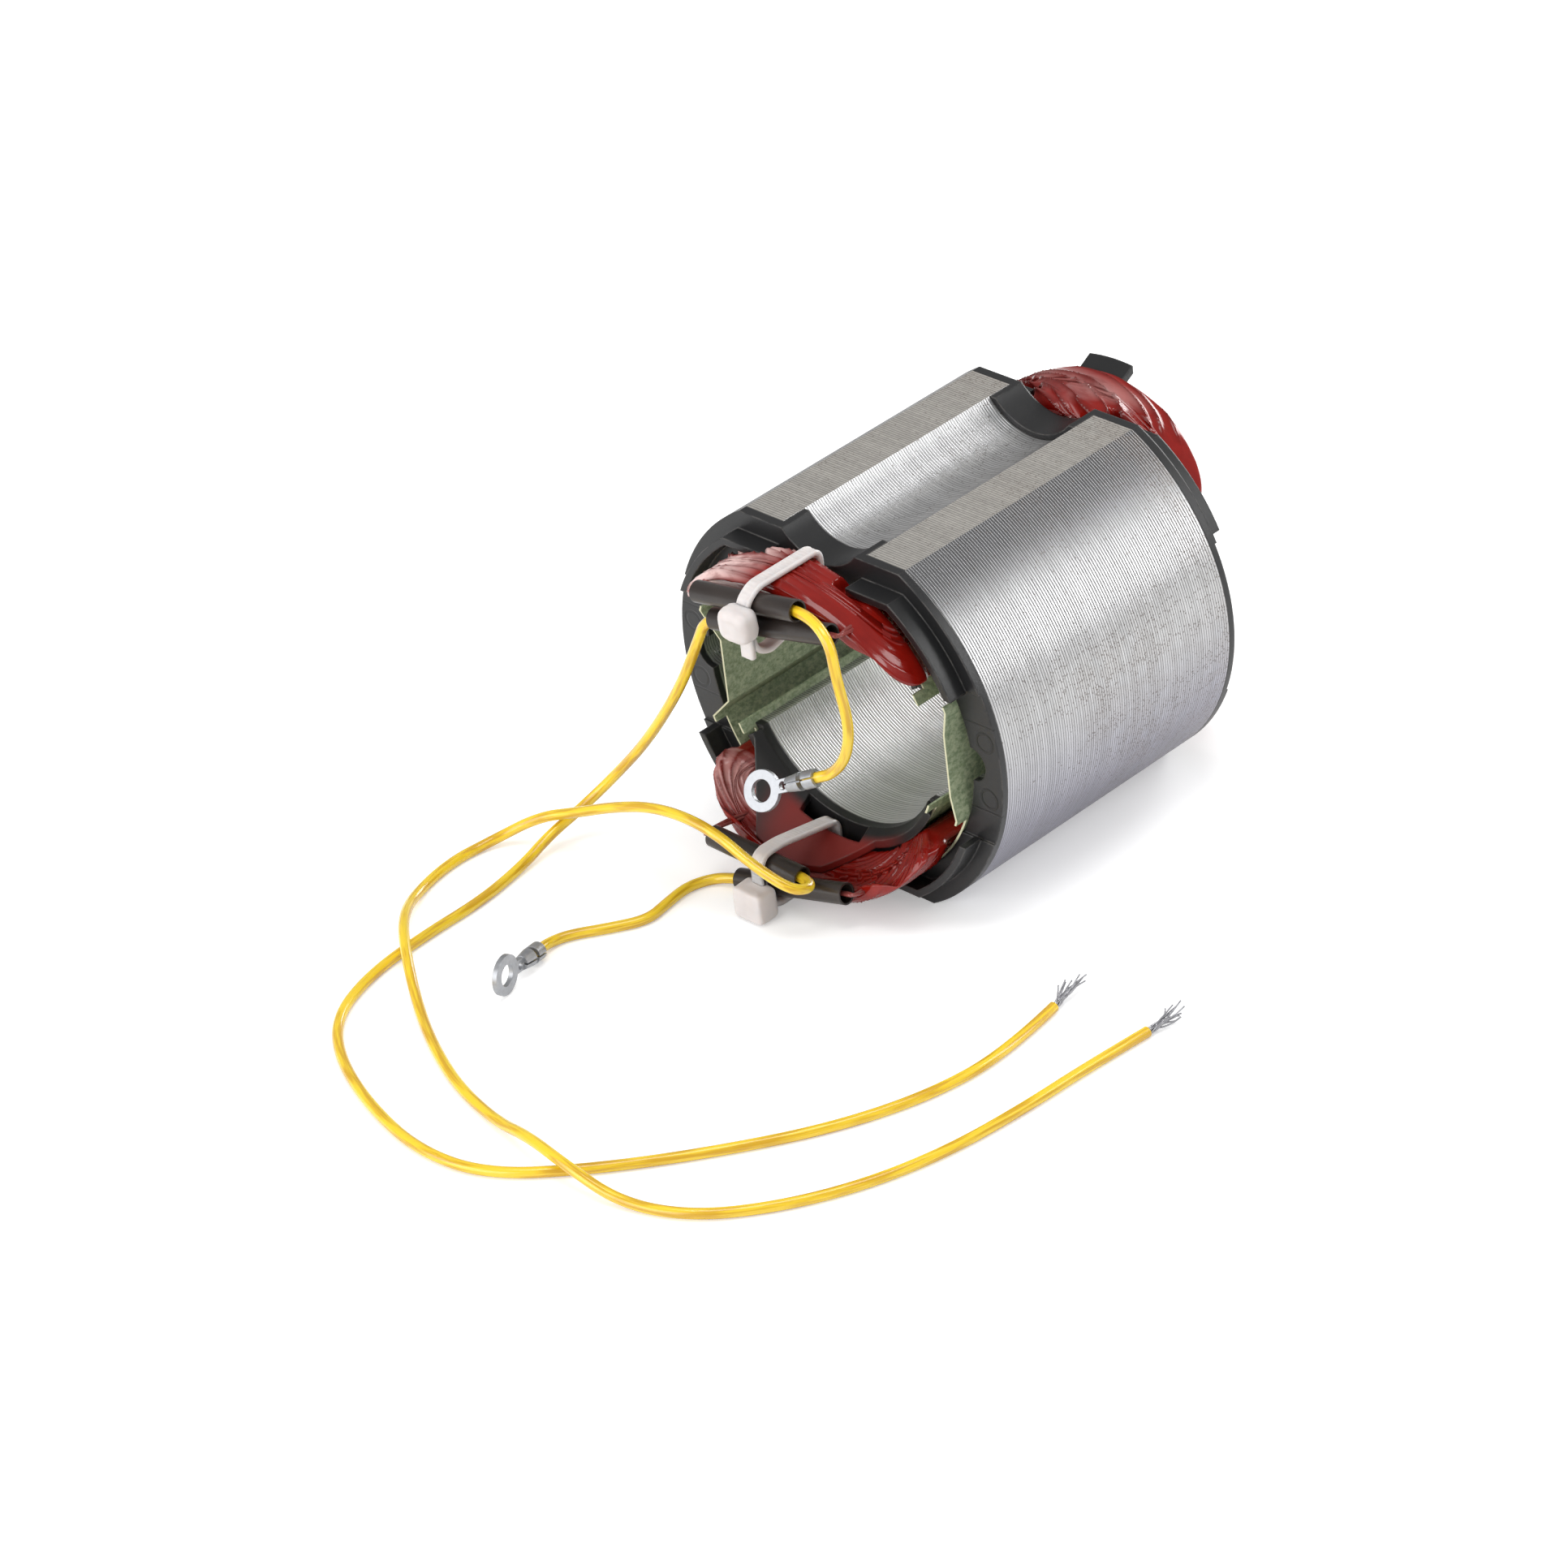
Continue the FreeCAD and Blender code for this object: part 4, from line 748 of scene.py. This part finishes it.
def bundle_vertices(grid, runs, style):
    """The places of a coil's surface, with the furrow and the painted highlight of each."""
    vertices = []
    tones = []
    for row, run in enumerate(runs):
        before = grid[row - 1]
        after = grid[(row + 1) % len(runs)]
        for column, (spot, thickness) in enumerate(grid[row]):
            around = grid[row][(column + 1) % RING_COLUMNS][0] - grid[row][column - 1][0]
            inward = (after[column][0] - before[column][0]).cross(around)
            inward = inward.normalized() if inward.length > 1e-9 else Vector((0, 0, 0))
            relief, furrow, painted_highlight = strand_relief(run, column / RING_COLUMNS, style)
            relief *= min(1.0, 0.2 + thickness / 3.2)
            vertices.append(spot + inward * relief)
            tones.append((furrow, painted_highlight))
    return vertices, tones


def add_windings():
    """The two varnished coils, each a bundle whose surface shows its strands."""
    ring = section_ring(RING_COLUMNS)
    runs = [part + step / steps for part, steps in enumerate(RUN_STEPS) for step in range(steps)]
    grid = [[winding_place(run, share, level) for share, level in ring] for run in runs]
    for name, style in WINDINGS.items():
        vertices, tones = bundle_vertices(grid, runs, style)
        faces = ring_faces(len(runs), RING_COLUMNS, True)
        if style["flip"]:
            vertices = [Vector((-v.x, v.y, -v.z)) for v in vertices]
        for letter in style["tails"]:
            for places in tail_strands(letter):
                more, added = strand_mesh(places, TAIL_RADIUS)
                faces += [tuple(number + len(vertices) for number in face) for face in added]
                vertices += more
                tones += [(0.2, 0.1)] * len(more)
        mesh = bpy.data.meshes.new(f"{name}_strands")
        mesh.from_pydata([vertex * MM for vertex in vertices], [], faces)
        mesh.polygons.foreach_set("use_smooth", [True] * len(mesh.polygons))
        attribute = mesh.color_attributes.new("tone", "FLOAT_COLOR", "POINT")
        colours = [part for furrow, painted_highlight in tones for part in (furrow, painted_highlight, 0.0, 1.0)]
        attribute.data.foreach_set("color", colours)
        add_piece(f"{name}_strands", mesh, "coil_varnish", [name])


def strap_section(sunk):
    """Places across a strap and above its inner face, round its section, with the outer face sunk that far."""
    half = STRAP_WIDTH / 2
    top = STRAP_THICKNESS
    face = top - sunk
    return [
        (-half, 0.25), (-half + 0.22, 0.0), (0.0, 0.0), (half - 0.22, 0.0), (half, 0.25), (half, top - 0.3),
        (half - 0.12, top - 0.08), (half - 0.34, top), (half - 0.42, face), (0.0, face), (-half + 0.42, face),
        (-half + 0.34, top), (-half + 0.12, top - 0.08), (-half, top - 0.3),
    ]


def strap_path(corners):
    """The strap's inner line with rounded corners, stepped finely enough to carry its teeth."""
    count = len(corners)
    points = [Vector(corner) for corner in corners]
    coarse = []
    for index, point in enumerate(points):
        before = points[index - 1] - point
        after = points[(index + 1) % count] - point
        first = point + before.normalized() * min(STRAP_BEND, 0.45 * before.length)
        last = point + after.normalized() * min(STRAP_BEND, 0.45 * after.length)
        for step in range(7):
            t = step / 6
            coarse.append(first * (1 - t) ** 2 + point * 2 * t * (1 - t) + last * t * t)
    path = []
    for index, point in enumerate(coarse):
        after = coarse[(index + 1) % len(coarse)]
        steps = max(1, int((after - point).length / STRAP_STEP))
        path += [point.lerp(after, step / steps) for step in range(steps)]
    return path


def strap_mesh(corners, middle):
    """A closed strap whose outer face has fine teeth across it between two smooth edges."""
    path = strap_path(corners)
    area = sum(a.x * b.y - b.x * a.y for a, b in zip(path, path[1:] + path[:1]))
    outward = 1 if area < 0 else -1
    vertices = []
    travelled = 0.0
    for index, place in enumerate(path):
        along = (path[(index + 1) % len(path)] - path[index - 1]).normalized()
        normal = Vector((-along.y, along.x)) * outward
        travelled += (place - path[index - 1]).length if index else 0.0
        section = strap_section(TOOTH_DEPTHS[0 if (travelled / TOOTH_PITCH) % 1 < 0.5 else 1])
        for across, above in section:
            spot = place + normal * above
            vertices.append(Vector((middle + across, spot.x, spot.y)))
    return vertices, ring_faces(len(path), len(section), True)


def lock_mesh(centre, roundness):
    """A tie's lock: a rounded block, sunk a little where its pawl moulds in front."""
    def power(number):
        return math.copysign(abs(number) ** roundness, number)
    rows, columns = 36, 56
    vertices = []
    for row in range(rows + 1):
        tilt = math.pi * (row / rows - 0.5)
        for column in range(columns):
            turn = math.tau * column / columns
            x = power(math.cos(tilt)) * power(math.cos(turn))
            y = power(math.cos(tilt)) * power(math.sin(turn))
            z = power(math.sin(tilt))
            if y < -0.5 and abs(x) < 0.45 and abs(z) < 0.5:
                y += 0.10 * min(1.0, (0.45 - abs(x)) * 8) * min(1.0, (0.5 - abs(z)) * 8)
            sink = 0.05 * noise.noise(Vector((x * 1.7, y * 1.7, z * 1.7 + centre[2])))
            corner = Vector((x * LOCK_SIZE[0], y * LOCK_SIZE[1], z * LOCK_SIZE[2]))
            vertices.append(Vector(centre) + corner * 0.5 * (0.985 - abs(sink)))
    faces = ring_faces(rows + 1, columns, False)
    return vertices, [tuple(reversed(face)) for face in faces]


def tail_mesh(middle, foot_y, foot_z, length):
    """The strap's cut tail beyond the lock."""
    section = strap_section(0.05)
    vertices = []
    for step in range(9):
        z = foot_z + length * step / 8
        vertices += [Vector((middle + across, foot_y + above, z)) for across, above in section]
    faces = ring_faces(9, len(section), False)
    faces.append(tuple(reversed(range(len(section)))))
    faces.append(tuple(range(len(vertices) - len(section), len(vertices))))
    return vertices, faces


def joined_mesh(name, parts):
    """One smooth mesh in metres from several lists of vertices in millimetres and their faces."""
    vertices = []
    faces = []
    for spots, sides in parts:
        faces += [tuple(number + len(vertices) for number in side) for side in sides]
        vertices += spots
    mesh = bpy.data.meshes.new(name)
    mesh.from_pydata([vertex * MM for vertex in vertices], [], faces)
    mesh.polygons.foreach_set("use_smooth", [True] * len(mesh.polygons))
    return mesh


def add_ties():
    """The two nylon ties with their toothed straps, rounded locks and cut tails."""
    for name, tie in TIES.items():
        middle = tie["lock"][0]
        parts = [
            strap_mesh(tie["corners"], middle),
            lock_mesh(tie["lock"], tie["roundness"]),
            tail_mesh(middle, *tie["tail"]),
        ]
        mesh = joined_mesh(f"{name}_moulding", parts)
        mesh.set_sharp_from_angle(angle=math.radians(50))
        add_piece(f"{name}_moulding", mesh, "tie_nylon", [name])


def strand_end_mesh(letter):
    """Bare wires that leave the insulation twisted together and then fray apart."""
    route = lead_route(letter)
    end = route[-1]
    along = (route[-1] - route[-2]).normalized()
    aside = along.cross(Vector((0, 0, 1))).normalized()
    up = aside.cross(along)
    chance = random.Random(ord(letter))
    parts = []
    for number in range(FRAYED_WIRES):
        turn = math.tau * number / FRAYED_WIRES
        ring = 0.22 if number % 3 == 0 else 0.5
        spread = chance.uniform(-2.1, 2.1)
        rise = chance.uniform(-0.1, 2.2)
        bend = chance.uniform(-0.8, 0.8)
        length = chance.uniform(4.6, 7.2)
        places = []
        for step in range(9):
            t = step / 8
            angle = turn + 1.9 * min(t * 3, 1.4)
            tight = ring * (1 - 0.35 * t)
            fray = max(0.0, t - 0.25) / 0.75
            sideways = math.cos(angle) * tight + spread * fray ** 1.3 + bend * math.sin(fray * 4.4) * 0.6
            upward = math.sin(angle) * tight + rise * fray ** 1.2 + bend * math.sin(fray * 5.6) * 0.3
            spot = end + along * (length * t - 0.4) + aside * sideways + up * upward
            spot.z = max(spot.z, FLOOR + 0.16)
            places.append(spot)
        parts.append(strand_mesh(places, FRAYED_WIRE_RADIUS, 7))
    return joined_mesh(f"strand_end_{letter}_wires", parts)


def bared_core_mesh(letter):
    """The short stretch of bare wires between a ring terminal's grip and its barrel."""
    route = lead_route(letter)
    along = (route[-1] - route[-2]).normalized()
    across = along.orthogonal().normalized()
    up = along.cross(across)
    parts = []
    for number in range(7):
        ring = 2 * CORE_WIRE_RADIUS if number < 6 else 0.0
        spot = route[-1] + spoke(across, up, math.tau * number / 6, ring)
        parts.append(strand_mesh([spot, spot + along * 0.8], CORE_WIRE_RADIUS, 8))
    return joined_mesh(f"lead_{letter}_core", parts)


def add_camera():
    right = CAMERA_RIGHT
    back = -CAMERA_FORWARD
    up = back.cross(right)
    place = Vector(CAMERA_PLACE) * MM
    data = bpy.data.cameras.new("camera")
    data.sensor_width = 36.0
    data.lens = CAMERA_LENS
    data.clip_start = 0.01
    data.clip_end = 50.0
    camera = bpy.data.objects.new("camera", data)
    scene.collection.objects.link(camera)
    camera.matrix_world = Matrix((
        (right.x, up.x, back.x, place.x),
        (right.y, up.y, back.y, place.y),
        (right.z, up.z, back.z, place.z),
        (0, 0, 0, 1),
    ))
    scene.camera = camera


def add_lamp(name, place, target, size, power):
    data = bpy.data.lights.new(name, "AREA")
    data.shape = "RECTANGLE"
    data.size = size[0] * MM
    data.size_y = size[1] * MM
    data.energy = power
    lamp = bpy.data.objects.new(name, data)
    scene.collection.objects.link(lamp)
    lamp.location = Vector(place) * MM
    direction = Vector(target) - Vector(place)
    lamp.rotation_euler = direction.to_track_quat("-Z", "Y").to_euler()


def add_studio():
    """A white floor that shows a faint shadow, a white world and four soft lamps."""
    n = Nodes("floor_white")
    path = n.add("ShaderNodeLightPath")
    seen = n.math("MAXIMUM", path.outputs["Is Camera Ray"], path.outputs["Is Transmission Ray"])
    seen = n.math("MAXIMUM", seen, n.times(path.outputs["Is Glossy Ray"], 0.3))
    n.set(Base_Color=colour(244, 244, 244), Roughness=1.0, Specular_IOR_Level=0.0)
    n.set(Emission_Color=(1, 1, 1, 1), Emission_Strength=n.times(seen, 0.3))
    mesh = bpy.data.meshes.new("floor")
    corners = [(-1, -1), (1, -1), (1, 1), (-1, 1)]
    corners = [(x * FLOOR_REACH, y * FLOOR_REACH, FLOOR * MM) for x, y in corners]
    mesh.from_pydata(corners, [], [(0, 1, 2, 3)])
    mesh.materials.append(n.material)
    floor = bpy.data.objects.new("floor", mesh)
    scene.collection.objects.link(floor)
    world = bpy.data.worlds.new("studio")
    world.use_nodes = True
    tree = world.node_tree
    background = tree.nodes["Background"]
    background.inputs["Color"].default_value = (1, 1, 1, 1)
    light = tree.nodes.new("ShaderNodeLightPath")
    last = None
    for ray, strength in (("Is Glossy Ray", 0.36), ("Is Camera Ray", 1.0)):
        share = tree.nodes.new("ShaderNodeMix")
        share.inputs["A"].default_value = 0.55
        if last:
            tree.links.new(last, share.inputs["A"])
        share.inputs["B"].default_value = strength
        tree.links.new(light.outputs[ray], share.inputs["Factor"])
        last = share.outputs["Result"]
    tree.links.new(last, background.inputs["Strength"])
    scene.world = world
    add_lamp("overhead", (60, -60, 620), (0, -20, 0), (460, 240), 1.6)
    add_lamp("front", (-350, -1720, 587), (0, -20, -8), (1900, 1300), 22.5)
    add_lamp("through_bore", (-20, 430, 130), (0, 20, -10), (220, 200), 1.1)
    add_lamp("right_back", (430, 330, 260), (0, 0, 0), (110, 420), 0.9)


finish_nodes()
add_leads()
add_windings()
add_ties()
add_camera()
add_studio()
scene.view_settings.view_transform = "Standard"
